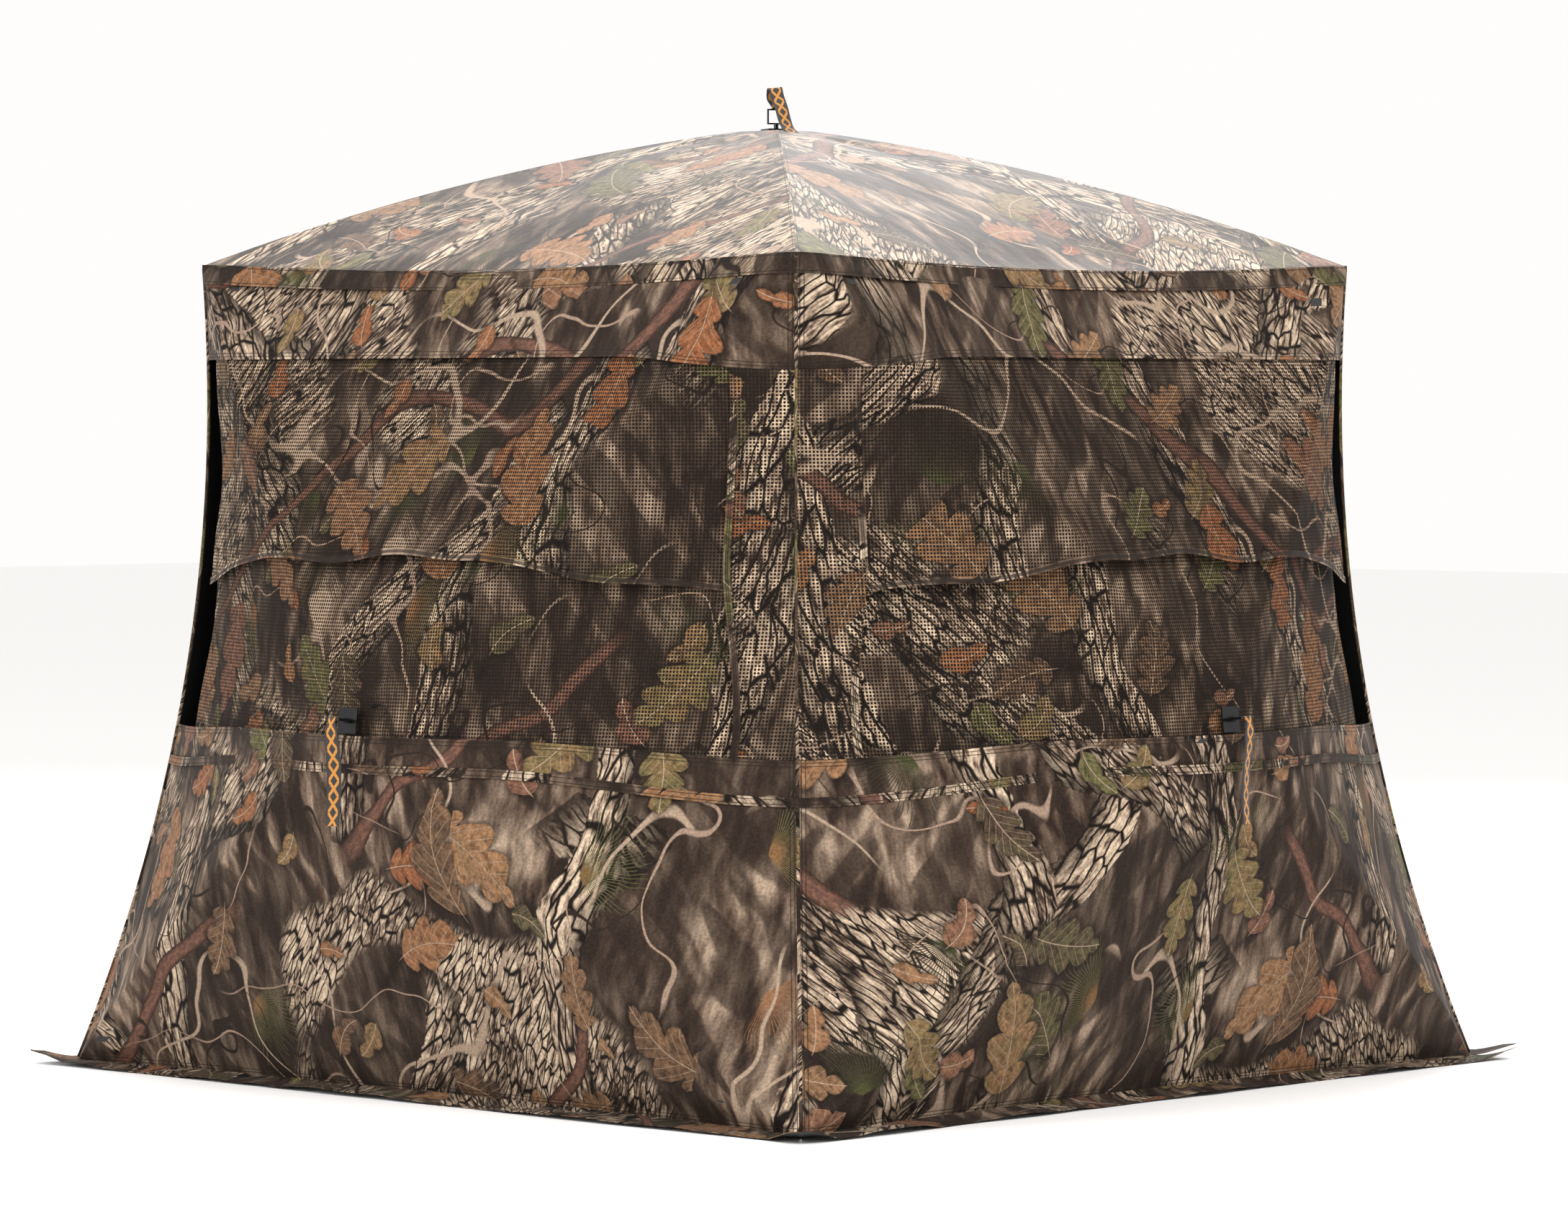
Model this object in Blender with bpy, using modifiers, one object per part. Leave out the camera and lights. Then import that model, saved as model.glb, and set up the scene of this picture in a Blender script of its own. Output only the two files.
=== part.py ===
"""Pop-up hub ground blind: four bulging fabric walls and a domed roof on five hubs of four poles each.

Metres, +Z up. The origin is on the ground at the middle of the footprint. The front wall faces -Y and the
right wall +X. Each wall is made as the front wall and turned by quarter turns about Z.
"""

import math

import bmesh
import bpy
from mathutils import Matrix, Vector

# ---- overall sizes ----
BASE_HALF = 0.92          # half the footprint, at the ground
EAVE_HALF = 0.75          # half the roof's square, at the eave
EAVE_HEIGHT = 1.48
ROOF_RISE = 0.25          # roof hub above the eave
HUB_REACH = 1.085         # from the middle of the blind to the fabric over a wall hub

# ---- fabric ----
CLOTH = 0.002             # thickness of the cover
POLE_BOW = 0.03           # how far a tensioned pole bows outwards
HUB_FLAT = 0.06           # share of a panel that lies flat over its hub
SIDE_DIP = 0.108          # how far tension pulls an upright corner edge in
EAVE_DIP = 0.02           # the same for the eave, inwards
EAVE_SAG = 0.025          # and downwards
HEM_LIFT = 0.010          # how far the foot of a wall lifts between its corners
HEM_FOOT = 0.006          # height of the wall's foot at the corners
SEAM_GAP = 0.002          # between panels that are sewn edge to edge
CORNER_GAP = 0.004        # between two walls at a corner, and between wall and roof
LAYER_STEP = 0.006        # from one layer of mesh to the layer behind it
BAND_DROP = 0.18          # eave down to the foot of the upper band
LOWER_TOP = 0.635         # top of the lower wall, at the corners
LOWER_TOP_LIFT = 0.022    # how much higher that is over the hub
FLAP_HEM = 0.93           # free hem of the upper mesh
MESH_OVERLAP = 0.08       # how far the lower mesh runs up behind the upper one
POST_WIDTH = 0.15         # mesh corner post, on each wall
POST_TUCK = 0.05          # how far a mesh panel runs in behind the post
SLIT_WIDTH = 0.05         # open slit between a mesh panel's far end and the corner
SKIRT_REACH = 0.055       # how far the ground skirt spreads
SKIRT_LAP = 0.02          # how much of that lies flat

# ---- poles and hubs ----
POLE_RADIUS = 0.0055
FERRULE_RADIUS = 0.0075
FERRULE_START = 0.016     # from the pin
FERRULE_LENGTH = 0.050
TONGUE_THICK = 0.0075
TONGUE_RADIUS = 0.007
PIN_RADIUS = 0.003
PIN_HOLE_RADIUS = 0.0036
MESH_CHORD = 0.0211       # how far the cover's flat facets pass under its curve, for each unit of its slope
PIN_CIRCLE = 0.030        # radius at which the pins sit
HUB_RADIUS = 0.042
HUB_THICK = 0.020
SLOT_WIDTH = 0.009
SLOT_START = 0.016
BOLT_RADIUS = 0.0045
BOLT_CLEARANCE = 0.0008
COVER_HOLE_CLEARANCE = 0.003

# ---- eye bolts and pull straps ----
PATCH_SIDE = 0.045
PATCH_THICK = 0.003
PATCH_GAP = 0.001
LOOP_SIDE_ROOM = 0.007    # loop wider than the strap, over its two wires and their clearances
LOOP_START = 0.014        # from the cover to the near side of the loop
LOOP_DEPTH = 0.026
LOOP_WIRE = 0.0025
NUT_RADIUS = 0.009
NUT_THICK = 0.006
STRAP_WIDTH = 0.025
STRAP_THICK = 0.004       # two layers of webbing
STRAP_LENGTH = 0.19
STRAP_EYE_CLEARANCE = 0.0008
ROOF_STRAP_TURN = math.radians(-27)   # the way that the roof strap flops, from +X
ROOF_STRAP_HUMP = 0.020   # how high it arches over the loop

# ---- corner boots ----
BOOT_INSET = 0.024        # from each wall
BOOT_DROP = 0.028         # below the eave
BOOT_RISE = 0.022         # above the ground
BOOT_BALL = 0.013
SLEEVE_RADIUS = 0.0095
SLEEVE_LENGTH = 0.075
SLEEVE_CLEARANCE = 0.0008
TIP_GAP = 0.0015          # from the pole's end to the bottom of its sleeve
TIP_DEPTH = 0.042         # from the boot's centre to the pole's end, so that it can slide in as the hub passes
PAD_SIDE = 0.036
PAD_THICK = 0.012

# ---- door, between two poles of the back wall ----
DOOR_HINGE_INSET = 0.17   # from the corner
DOOR_POINT = 0.15         # how near the hub the door's blunt point comes
DOOR_POLE_GAP = 0.035     # from the poles' lines to the door's edges
DOOR_GAP = 0.003

# ---- facets ----
SIDE_COLUMNS = 3
MIDDLE_COLUMNS = 5
ROOF_RINGS = 6
ROOF_COLUMNS = 6
POLE_POINTS = 6
ROUND_SIDES = 10

WALLS = ("front", "right", "back", "left")
CORNERS = ("front_right", "back_right", "back_left", "front_left")
CUTTER_LENGTH = 0.2

# ---- worked out from the sizes above ----
LEAN = (BASE_HALF - EAVE_HALF) / EAVE_HEIGHT
TILT = math.atan(LEAN)
SLANT = EAVE_HEIGHT / math.cos(TILT)
CENTRE_UP_SLOPE = (EAVE_HALF**2 - BASE_HALF**2 + SLANT**2) / (2 * SLANT)
CENTRE_Z = CENTRE_UP_SLOPE * math.cos(TILT)
CENTRE_REACH = BASE_HALF - LEAN * CENTRE_Z
WALL_BULGE = (HUB_REACH - CENTRE_REACH) / math.cos(TILT)
HUB_Z = CENTRE_Z + WALL_BULGE * math.sin(TILT)
FACET_ROOM = MESH_CHORD * WALL_BULGE / CENTRE_REACH
PIN_DROP = HUB_THICK / 2 + 2 * LAYER_STEP + CLOTH + FACET_ROOM     # from the cover's outside to the pins
WALL_RISE = HUB_REACH - (BASE_HALF - LEAN * HUB_Z)
PEAK = EAVE_HEIGHT + ROOF_RISE
RIDGE_MIN = 0.05          # the ridges stay this far apart over the hub, where the cover is flat


def clear_scene():
    for obj in list(bpy.data.objects):
        bpy.data.objects.remove(obj, do_unlink=True)


def new_collection(name):
    made = bpy.data.collections.new(name)
    bpy.context.scene.collection.children.link(made)
    return made


clear_scene()
BLIND = new_collection("ground_blind")
CUTTERS = new_collection("cutters")
CUTTERS.hide_render = True


def material(name, colour, roughness, metallic=0.0):
    made = bpy.data.materials.new(name)
    made.use_nodes = True
    shader = made.node_tree.nodes["Principled BSDF"]
    shader.inputs["Base Color"].default_value = (*colour, 1.0)
    shader.inputs["Roughness"].default_value = roughness
    shader.inputs["Metallic"].default_value = metallic
    return made


CAMO_CLOTH = material("camo_cloth", (0.165, 0.120, 0.090), 0.85)
CAMO_MESH = material("camo_mesh", (0.120, 0.085, 0.062), 0.90)
BLACK_PLASTIC = material("black_plastic", (0.020, 0.020, 0.021), 0.45)
BLACK_RUBBER = material("black_rubber", (0.028, 0.028, 0.027), 0.80)
GLASS_FIBRE = material("glass_fibre", (0.030, 0.030, 0.032), 0.35)
STEEL = material("blackened_steel", (0.060, 0.060, 0.062), 0.35, 0.9)
WEBBING = material("strap_webbing", (0.045, 0.032, 0.020), 0.80)


# ---------------------------------------------------------------- making objects


def keep(obj, surface):
    """Moves an object into the blind's collection, with its material."""
    for owner in list(obj.users_collection):
        owner.objects.unlink(obj)
    BLIND.objects.link(obj)
    if surface:
        obj.data.materials.clear()
        obj.data.materials.append(surface)
    return obj


def object_of(name, mesh):
    obj = bpy.data.objects.new(name, mesh)
    BLIND.objects.link(obj)
    return obj


def smooth(obj, angle=35):
    obj.data.shade_smooth()
    obj.data.set_sharp_from_angle(angle=math.radians(angle))


def mesh_of(obj):
    """A welded mesh of an object as it is evaluated, in world space. The object is removed."""
    bpy.context.view_layer.update()
    graph = bpy.context.evaluated_depsgraph_get()
    mesh = bpy.data.meshes.new_from_object(obj.evaluated_get(graph))
    mesh.transform(obj.matrix_world)
    edit = bmesh.new()
    edit.from_mesh(mesh)
    bmesh.ops.remove_doubles(edit, verts=edit.verts, dist=1e-5)
    bmesh.ops.recalc_face_normals(edit, faces=edit.faces)
    edit.to_mesh(mesh)
    edit.free()
    bpy.data.objects.remove(obj, do_unlink=True)
    return mesh


def primitive(kind, matrix, **sizes):
    """A temporary box or cone, placed by a matrix."""
    mesh = bpy.data.meshes.new(kind)
    edit = bmesh.new()
    if kind == "box":
        bmesh.ops.create_cube(edit, size=1.0)
        bmesh.ops.scale(edit, vec=sizes["size"], verts=edit.verts)
    elif kind == "rod":
        bmesh.ops.create_cone(
            edit,
            cap_ends=True,
            segments=sizes.get("sides", ROUND_SIDES),
            radius1=sizes["radius"],
            radius2=sizes["radius"],
            depth=sizes["length"],
        )
    else:
        bmesh.ops.create_uvsphere(edit, u_segments=ROUND_SIDES, v_segments=6, radius=sizes["radius"])
    edit.to_mesh(mesh)
    edit.free()
    mesh.transform(matrix)
    return object_of(kind, mesh)


def along(start, direction, length):
    """The matrix of a rod that starts at a point and runs that way."""
    turned = direction.to_track_quat("Z", "Y").to_matrix().to_4x4()
    return Matrix.Translation(start + direction * length / 2) @ turned


def boolean(body, others, operation):
    """body with each of the others joined to it or cut from it, as one mesh."""
    for other in others:
        step = body.modifiers.new(operation.lower(), "BOOLEAN")
        step.operation = operation
        step.object = other
    name = body.name
    mesh = mesh_of(body)
    for other in others:
        bpy.data.objects.remove(other, do_unlink=True)
    return object_of(name, mesh)


def flat_outline(splines, half_thick, matrix):
    """A temporary solid: closed 2D outlines, a hole among them, filled and made thick."""
    curve = bpy.data.curves.new("outline", "CURVE")
    curve.dimensions = "2D"
    curve.fill_mode = "BOTH"
    curve.extrude = half_thick
    for points in splines:
        spline = curve.splines.new("POLY")
        spline.points.add(len(points) - 1)
        for slot, (x, y) in zip(spline.points, points):
            slot.co = (x, y, 0, 1)
        spline.use_cyclic_u = True
    obj = bpy.data.objects.new("outline", curve)
    BLIND.objects.link(obj)
    obj.matrix_world = matrix
    return obj


def wire(points, radius, cyclic=False):
    """A temporary round wire along straight stretches between points."""
    curve = bpy.data.curves.new("wire", "CURVE")
    curve.dimensions = "3D"
    curve.bevel_depth = radius
    curve.bevel_resolution = 2
    curve.use_fill_caps = True
    spline = curve.splines.new("POLY")
    spline.points.add(len(points) - 1)
    for slot, point in zip(spline.points, points):
        slot.co = (*point, 1)
    spline.use_cyclic_u = cyclic
    obj = bpy.data.objects.new("wire", curve)
    BLIND.objects.link(obj)
    return obj


def arc(centre, radius, start, end, steps):
    """Points on a circle, from one angle to another, in degrees."""
    angles = [math.radians(start + (end - start) * i / steps) for i in range(steps + 1)]
    return [(centre[0] + radius * math.cos(a), centre[1] + radius * math.sin(a)) for a in angles]


# ---------------------------------------------------------------- the shape of the cover


def wall_sector(x, z):
    """Where a point of the front wall lies between the poles: (share of the way from the edge to the hub,
    share of the way along that edge, which edge)."""
    up = z - HUB_Z
    shares = {
        "side": (abs(x) + LEAN * up) / (BASE_HALF - LEAN * HUB_Z),
        "eave": up / (EAVE_HEIGHT - HUB_Z),
        "hem": -up / HUB_Z,
    }
    edge = max(shares, key=shares.get)
    out = max(shares[edge], 1e-6)
    if edge == "side":
        place = (HUB_Z + up / out) / EAVE_HEIGHT
    else:
        place = (x / out / (EAVE_HALF if edge == "eave" else BASE_HALF) + 1) / 2
    return 1 - out, min(max(place, 0.0), 1.0), edge


def pole_rise(share, rise):
    """Height of the cover over a pole, a share of the way from the corner to the hub."""
    near = min(max(share, 0.0) / (1 - HUB_FLAT), 1.0)
    return rise * near + POLE_BOW * 4 * near * (1 - near)


def wall_reach(x, z):
    """How far out the front wall's outside is."""
    share, place, edge = wall_sector(x, z)
    dip = {"side": SIDE_DIP, "eave": EAVE_DIP, "hem": 0.0}[edge]
    pulled = dip * 4 * place * (1 - place) * (1 - share) ** 2
    return BASE_HALF - LEAN * z + pole_rise(share, WALL_RISE) - pulled


def corner_x(z):
    """Half the wall's width at a height: where it meets the plane halfway between two walls."""
    x = BASE_HALF - LEAN * z
    for _ in range(40):
        x = (x + wall_reach(x, z)) / 2
    return x


def ridge_x(z):
    """How far from the wall's middle the pole's line is, at a height."""
    if z > HUB_Z:
        x = EAVE_HALF * (z - HUB_Z) / (EAVE_HEIGHT - HUB_Z)
    else:
        x = BASE_HALF * (HUB_Z - z) / HUB_Z
    return max(x, RIDGE_MIN)


def eave_z(x):
    return EAVE_HEIGHT - EAVE_SAG * (1 - min(abs(x) / EAVE_HALF, 1) ** 2)


def hem_z(x):
    return HEM_FOOT + HEM_LIFT * (1 - min(abs(x) / BASE_HALF, 1) ** 2)


def band_foot_z(x):
    return EAVE_HEIGHT - BAND_DROP


def lower_top_z(x):
    return LOWER_TOP + LOWER_TOP_LIFT * (1 - min(abs(x) / corner_x(LOWER_TOP), 1))


def spread(low, high, steps):
    return [low + (high - low) * i / steps for i in range(steps + 1)]


def wall_columns(z, left, right):
    """The x of each column of a panel at a height, with one column on each pole's line where it has room."""
    ridge = min(ridge_x(z), -left - 0.01, right - 0.01)
    xs = spread(left, -ridge, SIDE_COLUMNS)
    xs += spread(-ridge, ridge, MIDDLE_COLUMNS)[1:]
    return xs + spread(ridge, right, SIDE_COLUMNS)[1:]


def wall_panel(low, high, rows, left_gap, right_gap, depth=0.0):
    """Rows of points of a front wall panel between two heights, each a function of x. The gaps are measured
    from the corners, and depth is how far the layer lies behind the wall's outside."""
    grid = []
    for share in rows:
        z_side = low(BASE_HALF) + (high(BASE_HALF) - low(BASE_HALF)) * share
        edge = corner_x(z_side)
        row = []
        for x in wall_columns(z_side, -edge + left_gap, edge - right_gap):
            z = low(x) + (high(x) - low(x)) * share
            row.append(Vector((x, -(wall_reach(x, z) - depth), z)))
        grid.append(row)
    return grid


def side_panel(low, high, rows, columns, side, inner, outer, depth=0.0):
    """Rows of points of a strip near one corner of the front wall, between two distances from the corner."""
    grid = []
    for share in rows:
        z = low(0) + (high(0) - low(0)) * share
        edge = corner_x(z)
        xs = [side * (edge - d) for d in spread(inner, outer, columns)]
        grid.append([Vector((x, -(wall_reach(x, z) - depth), z)) for x in xs])
    return grid


def sheet(name, grid, surface, turn=0, extra=None):
    """A cloth solid: an open grid of points made thick inwards, turned about Z by quarter turns."""
    mesh = bpy.data.meshes.new(name)
    edit = bmesh.new()
    rows = [[edit.verts.new(point) for point in row] for row in grid]
    for low, high in zip(rows, rows[1:]):
        for i in range(len(low) - 1):
            edit.faces.new((low[i], low[i + 1], high[i + 1], high[i]))
    outside = Vector((0, 0, 1)) if extra == "roof" else None
    bmesh.ops.remove_doubles(edit, verts=edit.verts, dist=1e-6)
    bmesh.ops.recalc_face_normals(edit, faces=edit.faces)
    face = max(edit.faces, key=lambda f: f.calc_area())
    centre = face.calc_center_median()
    outwards = outside or Vector((centre.x, centre.y, 0))
    if face.normal.dot(outwards) < 0:
        bmesh.ops.reverse_faces(edit, faces=edit.faces)
    edit.to_mesh(mesh)
    edit.free()
    obj = keep(object_of(name, mesh), surface)
    thick = obj.modifiers.new("thickness", "SOLIDIFY")
    thick.thickness = CLOTH
    thick.offset = -1.0
    obj.rotation_euler.z = turn * math.pi / 2
    smooth(obj)
    return obj


def cut_for_bolt(obj, hub_frame, reach):
    """A hole through a cover panel for the bolt of the hub behind it."""
    radius = BOLT_RADIUS + COVER_HOLE_CLEARANCE
    start = hub_frame @ Vector((0, 0, reach - CUTTER_LENGTH / 2))
    normal = (hub_frame.to_3x3() @ Vector((0, 0, 1))).normalized()
    cutter = primitive("rod", along(start, normal, CUTTER_LENGTH), radius=radius, length=CUTTER_LENGTH)
    hide_cutter(cutter, obj.name + "_bolt_cutter")
    cut = obj.modifiers.new("bolt_hole", "BOOLEAN")
    cut.operation = "DIFFERENCE"
    cut.object = cutter


def hide_cutter(obj, name):
    obj.name = name
    BLIND.objects.unlink(obj)
    CUTTERS.objects.link(obj)
    obj.hide_render = True
    obj.display_type = "WIRE"


# ---------------------------------------------------------------- frames of the five hubs


def turned(quarter):
    return Matrix.Rotation(quarter * math.pi / 2, 4, "Z")


def wall_frame(quarter):
    """Origin in the plane of a wall's four corners, as far from each; X across, Y up the slope, Z outwards."""
    across = Vector((1, 0, 0))
    upwards = Vector((0, math.sin(TILT), math.cos(TILT)))
    outwards = Vector((0, -math.cos(TILT), math.sin(TILT)))
    frame = Matrix((across, upwards, outwards)).transposed().to_4x4()
    frame.translation = Vector((0, -CENTRE_REACH, CENTRE_Z))
    return turned(quarter) @ frame


ROOF_FRAME = Matrix.Translation((0, 0, EAVE_HEIGHT))


def boot_centre(corner, top):
    half = (EAVE_HALF if top else BASE_HALF) - BOOT_INSET
    height = EAVE_HEIGHT - BOOT_DROP if top else BOOT_RISE
    return turned(corner) @ Vector((half, -half, height))


class Pole:
    """One pole from a hub's pin to a boot's centre, in the plane that holds the hub's axis."""

    def __init__(self, frame, bulge, target):
        local = frame.inverted() @ target
        self.outwards = (frame.to_3x3() @ Vector((0, 0, 1))).normalized()
        flat = Vector((local.x, local.y, 0))
        self.away = (frame.to_3x3() @ flat.normalized()).normalized()
        self.pin = frame @ (flat.normalized() * PIN_CIRCLE + Vector((0, 0, bulge - PIN_DROP)))
        self.target = target
        self.run = flat.length - PIN_CIRCLE
        self.fall = bulge - PIN_DROP - local.z
        self.axis = self.away.cross(self.outwards)

    def line(self):
        """Points down the pole's middle, from its ferrule to its end in the boot."""
        chord = self.target - self.pin
        across = self.axis.cross(chord.normalized())
        first = (FERRULE_START + FERRULE_LENGTH / 2) / chord.length
        last = 1 - TIP_DEPTH / chord.length
        return [
            self.pin + chord * s + across * POLE_BOW * 4 * s * (1 - s)
            for s in spread(first, last, POLE_POINTS - 1)
        ]

    def tip(self):
        """The pole's end in its boot, and the way back up the pole."""
        points = self.line()
        return points[-1], (points[-2] - points[-1]).normalized()


# ---------------------------------------------------------------- frame pieces


def make_pole(name, pole):
    """A glass fibre pole with its steel ferrule, whose flat tongue turns on the hub's pin."""
    points = pole.line()
    rod = object_of("rod_mesh", mesh_of(wire(points, POLE_RADIUS)))
    down = (points[0] - pole.pin).normalized()
    ferrule = primitive(
        "rod",
        along(pole.pin + down * FERRULE_START, down, FERRULE_LENGTH),
        radius=FERRULE_RADIUS,
        length=FERRULE_LENGTH,
        sides=10,
    )
    length = FERRULE_START + FERRULE_LENGTH / 3
    outline = arc((0, 0), TONGUE_RADIUS, 90, 270, 6)
    outline += [(length, -TONGUE_RADIUS * 0.75), (length, TONGUE_RADIUS * 0.75)]
    hole = arc((0, 0), PIN_HOLE_RADIUS, 0, 330, 11)
    frame = Matrix((down, pole.axis.cross(down), pole.axis)).transposed().to_4x4()
    frame.translation = pole.pin
    tongue = object_of("tongue", mesh_of(flat_outline([outline, hole], TONGUE_THICK / 2, frame)))
    body = boolean(ferrule, [rod, tongue], "UNION")
    body.name = name
    keep(body, GLASS_FIBRE)
    smooth(body)


def make_hub(name, frame, bulge, poles):
    """A slotted disc with a pin across each slot and a bore for the bolt."""
    outwards = poles[0].outwards
    middle = frame @ Vector((0, 0, bulge - PIN_DROP))
    disc = primitive(
        "rod",
        along(middle - outwards * HUB_THICK / 2, outwards, HUB_THICK),
        radius=HUB_RADIUS,
        length=HUB_THICK,
        sides=24,
    )
    slots = []
    for pole in poles:
        length = HUB_RADIUS * 1.5 - SLOT_START
        place = Matrix((pole.away, -pole.axis, outwards)).transposed().to_4x4()
        place.translation = middle + pole.away * (SLOT_START + length / 2)
        slots.append(primitive("box", place, size=(length, SLOT_WIDTH, HUB_THICK * 2)))
    bore_start = middle - outwards * HUB_THICK
    bore = primitive(
        "rod",
        along(bore_start, outwards, HUB_THICK * 2),
        radius=BOLT_RADIUS + BOLT_CLEARANCE,
        length=HUB_THICK * 2,
    )
    disc = boolean(disc, slots + [bore], "DIFFERENCE")
    pins = []
    for pole in poles:
        length = SLOT_WIDTH + 0.006
        pins.append(
            primitive(
                "rod",
                along(pole.pin - pole.axis * length / 2, pole.axis, length),
                radius=PIN_RADIUS,
                length=length,
                sides=8,
            )
        )
    disc = boolean(disc, pins, "UNION")
    disc.name = name
    keep(disc, BLACK_PLASTIC)
    smooth(disc)


def make_eye(name, frame, bulge, across):
    """The bolt through hub and cover: rubber patch outside, nut inside, and the loop for the pull strap."""
    outwards = (frame.to_3x3() @ Vector((0, 0, 1))).normalized()
    surface = frame @ Vector((0, 0, bulge))
    upwards = outwards.cross(across)
    square = Matrix((across, upwards, outwards)).transposed().to_4x4()
    square.translation = surface + outwards * (PATCH_GAP + PATCH_THICK / 2)
    patch = primitive("box", square, size=(PATCH_SIDE, PATCH_SIDE, PATCH_THICK))
    inner = PIN_DROP + HUB_THICK / 2 + 0.001
    stem_start = surface - outwards * (inner + NUT_THICK / 2)
    stem_length = inner + NUT_THICK / 2 + LOOP_START
    stem = primitive(
        "rod", along(stem_start, outwards, stem_length), radius=BOLT_RADIUS, length=stem_length, sides=10
    )
    nut_start = surface - outwards * (inner + NUT_THICK)
    nut = primitive("rod", along(nut_start, outwards, NUT_THICK), radius=NUT_RADIUS, length=NUT_THICK, sides=6)
    corners = [(-1, 0), (1, 0), (1, 1), (-1, 1)]
    points = [
        surface + outwards * (LOOP_START + LOOP_DEPTH * far) + across * (STRAP_WIDTH + LOOP_SIDE_ROOM) / 2 * side
        for side, far in corners
    ]
    loop = object_of("loop", mesh_of(wire(points, LOOP_WIRE, cyclic=True)))
    body = boolean(stem, [patch, nut, loop], "UNION")
    body.name = name
    keep(body, STEEL)
    smooth(body)
    return surface + outwards * (LOOP_START + LOOP_DEPTH)


def strap_outline(path):
    """Both sides of a strap along a path of (out, up) points that starts at the loop's bar, with its eye."""
    eye = LOOP_WIRE + STRAP_EYE_CLEARANCE
    head = eye + STRAP_THICK / 2
    points = [Vector(p) for p in path]
    left, right = [], []
    for i, point in enumerate(points):
        way = (points[min(i + 1, len(points) - 1)] - points[max(i - 1, 0)]).normalized()
        side = Vector((-way.y, way.x)) * STRAP_THICK / 2
        left.append(point + side)
        right.append(point - side)
    way = (points[1] - points[0]).normalized()
    facing = math.degrees(math.atan2(way.y, way.x))
    neck = math.degrees(math.asin(STRAP_THICK / 2 / head))
    start = points[0]
    round_head = arc(start, head, facing + neck, facing + 360 - neck, 10)
    outline = [tuple(p) for p in round_head] + [tuple(p) for p in right[1:]]
    outline += [tuple(p) for p in reversed(left[1:])]
    return [outline, arc(start, eye, 0, 330, 11)]


def make_strap(name, path, bar, out_direction):
    """A webbing pull strap whose eye turns on the loop's bar."""
    across = out_direction.cross(Vector((0, 0, 1)))
    frame = Matrix((out_direction, Vector((0, 0, 1)), across)).transposed().to_4x4()
    frame.translation = bar
    strap = object_of(name, mesh_of(flat_outline(strap_outline(path), STRAP_WIDTH / 2, frame)))
    strap.name = name
    keep(strap, WEBBING)
    smooth(strap)


def make_boot(name, centre, poles, pad):
    """A flexible rubber boot in a corner: a ball with a sleeve for each pole, and a foot at the ground."""
    ball = primitive("ball", Matrix.Translation(centre), radius=BOOT_BALL)
    joined, bores = [], []
    for pole in poles:
        tip, way = pole.tip()
        start = tip - way * TIP_DEPTH
        joined.append(
            primitive("rod", along(start, way, SLEEVE_LENGTH), radius=SLEEVE_RADIUS, length=SLEEVE_LENGTH)
        )
        bore = along(tip - way * TIP_GAP, way, SLEEVE_LENGTH)
        bores.append(primitive("rod", bore, radius=POLE_RADIUS + SLEEVE_CLEARANCE, length=SLEEVE_LENGTH))
    if pad:
        foot = Matrix.Translation((centre.x, centre.y, PAD_THICK / 2))
        joined.append(primitive("box", foot, size=(PAD_SIDE, PAD_SIDE, PAD_THICK)))
    ball = boolean(ball, joined, "UNION")
    ball = boolean(ball, bores, "DIFFERENCE")
    ball.name = name
    keep(ball, BLACK_RUBBER)
    smooth(ball)


def wall_strap_path():
    return [(0, 0), (0.002, -0.02), (0.002, -STRAP_LENGTH * 0.5), (0, -STRAP_LENGTH)]


def roof_height(x, y):
    """Height of the roof's outside near its hub."""
    share = 1 - max(abs(x), abs(y)) / EAVE_HALF
    return EAVE_HEIGHT + pole_rise(share, ROOF_RISE)


def roof_strap_path(bar, out_direction):
    """Up over the loop, down to the roof and along it."""
    lift = STRAP_THICK / 2 + 0.004
    path = [(0, 0), (0.006, 0.012), (0.020, ROOF_STRAP_HUMP), (0.036, 0.012)]
    for out in (0.060, 0.085, 0.110, 0.140):
        point = bar + out_direction * out
        path.append((out, roof_height(point.x, point.y) + lift - bar.z))
    return path


def make_frame():
    """The five hubs with their poles, bolts and straps, and the eight corner boots."""
    ends = {(corner, top): [] for corner in range(4) for top in (True, False)}
    sides = [(WALLS[k], wall_frame(k), WALL_BULGE) for k in range(4)] + [("roof", ROOF_FRAME, ROOF_RISE)]
    for index, (side, frame, bulge) in enumerate(sides):
        if side == "roof":
            wanted = [(CORNERS[k], k, True) for k in range(4)]
        else:
            near, far = index, (index - 1) % 4
            wanted = [("top_b", near, True), ("top_a", far, True), ("base_b", near, False), ("base_a", far, False)]
        poles = []
        for label, corner, top in wanted:
            pole = Pole(frame, bulge, boot_centre(corner, top))
            poles.append(pole)
            ends[corner, top].append(pole)
            make_pole(f"pole_{side}_{label}", pole)
        make_hub(f"hub_{side}", frame, bulge, poles)
        if side == "roof":
            out = Matrix.Rotation(ROOF_STRAP_TURN, 3, "Z") @ Vector((1, 0, 0))
            bar = make_eye(f"hub_eye_{side}", frame, bulge, out.cross(Vector((0, 0, 1))))
            make_strap(f"pull_strap_{side}", roof_strap_path(bar, out), bar, out)
        else:
            across = (frame.to_3x3() @ Vector((1, 0, 0))).normalized()
            bar = make_eye(f"hub_eye_{side}", frame, bulge, across)
            out = turned(index).to_3x3() @ Vector((0, -1, 0))
            make_strap(f"pull_strap_{side}", wall_strap_path(), bar, out)
    for (corner, top), poles in ends.items():
        level = "top" if top else "base"
        make_boot(f"corner_boot_{level}_{CORNERS[corner]}", boot_centre(corner, top), poles, not top)


# ---------------------------------------------------------------- cover pieces


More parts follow.
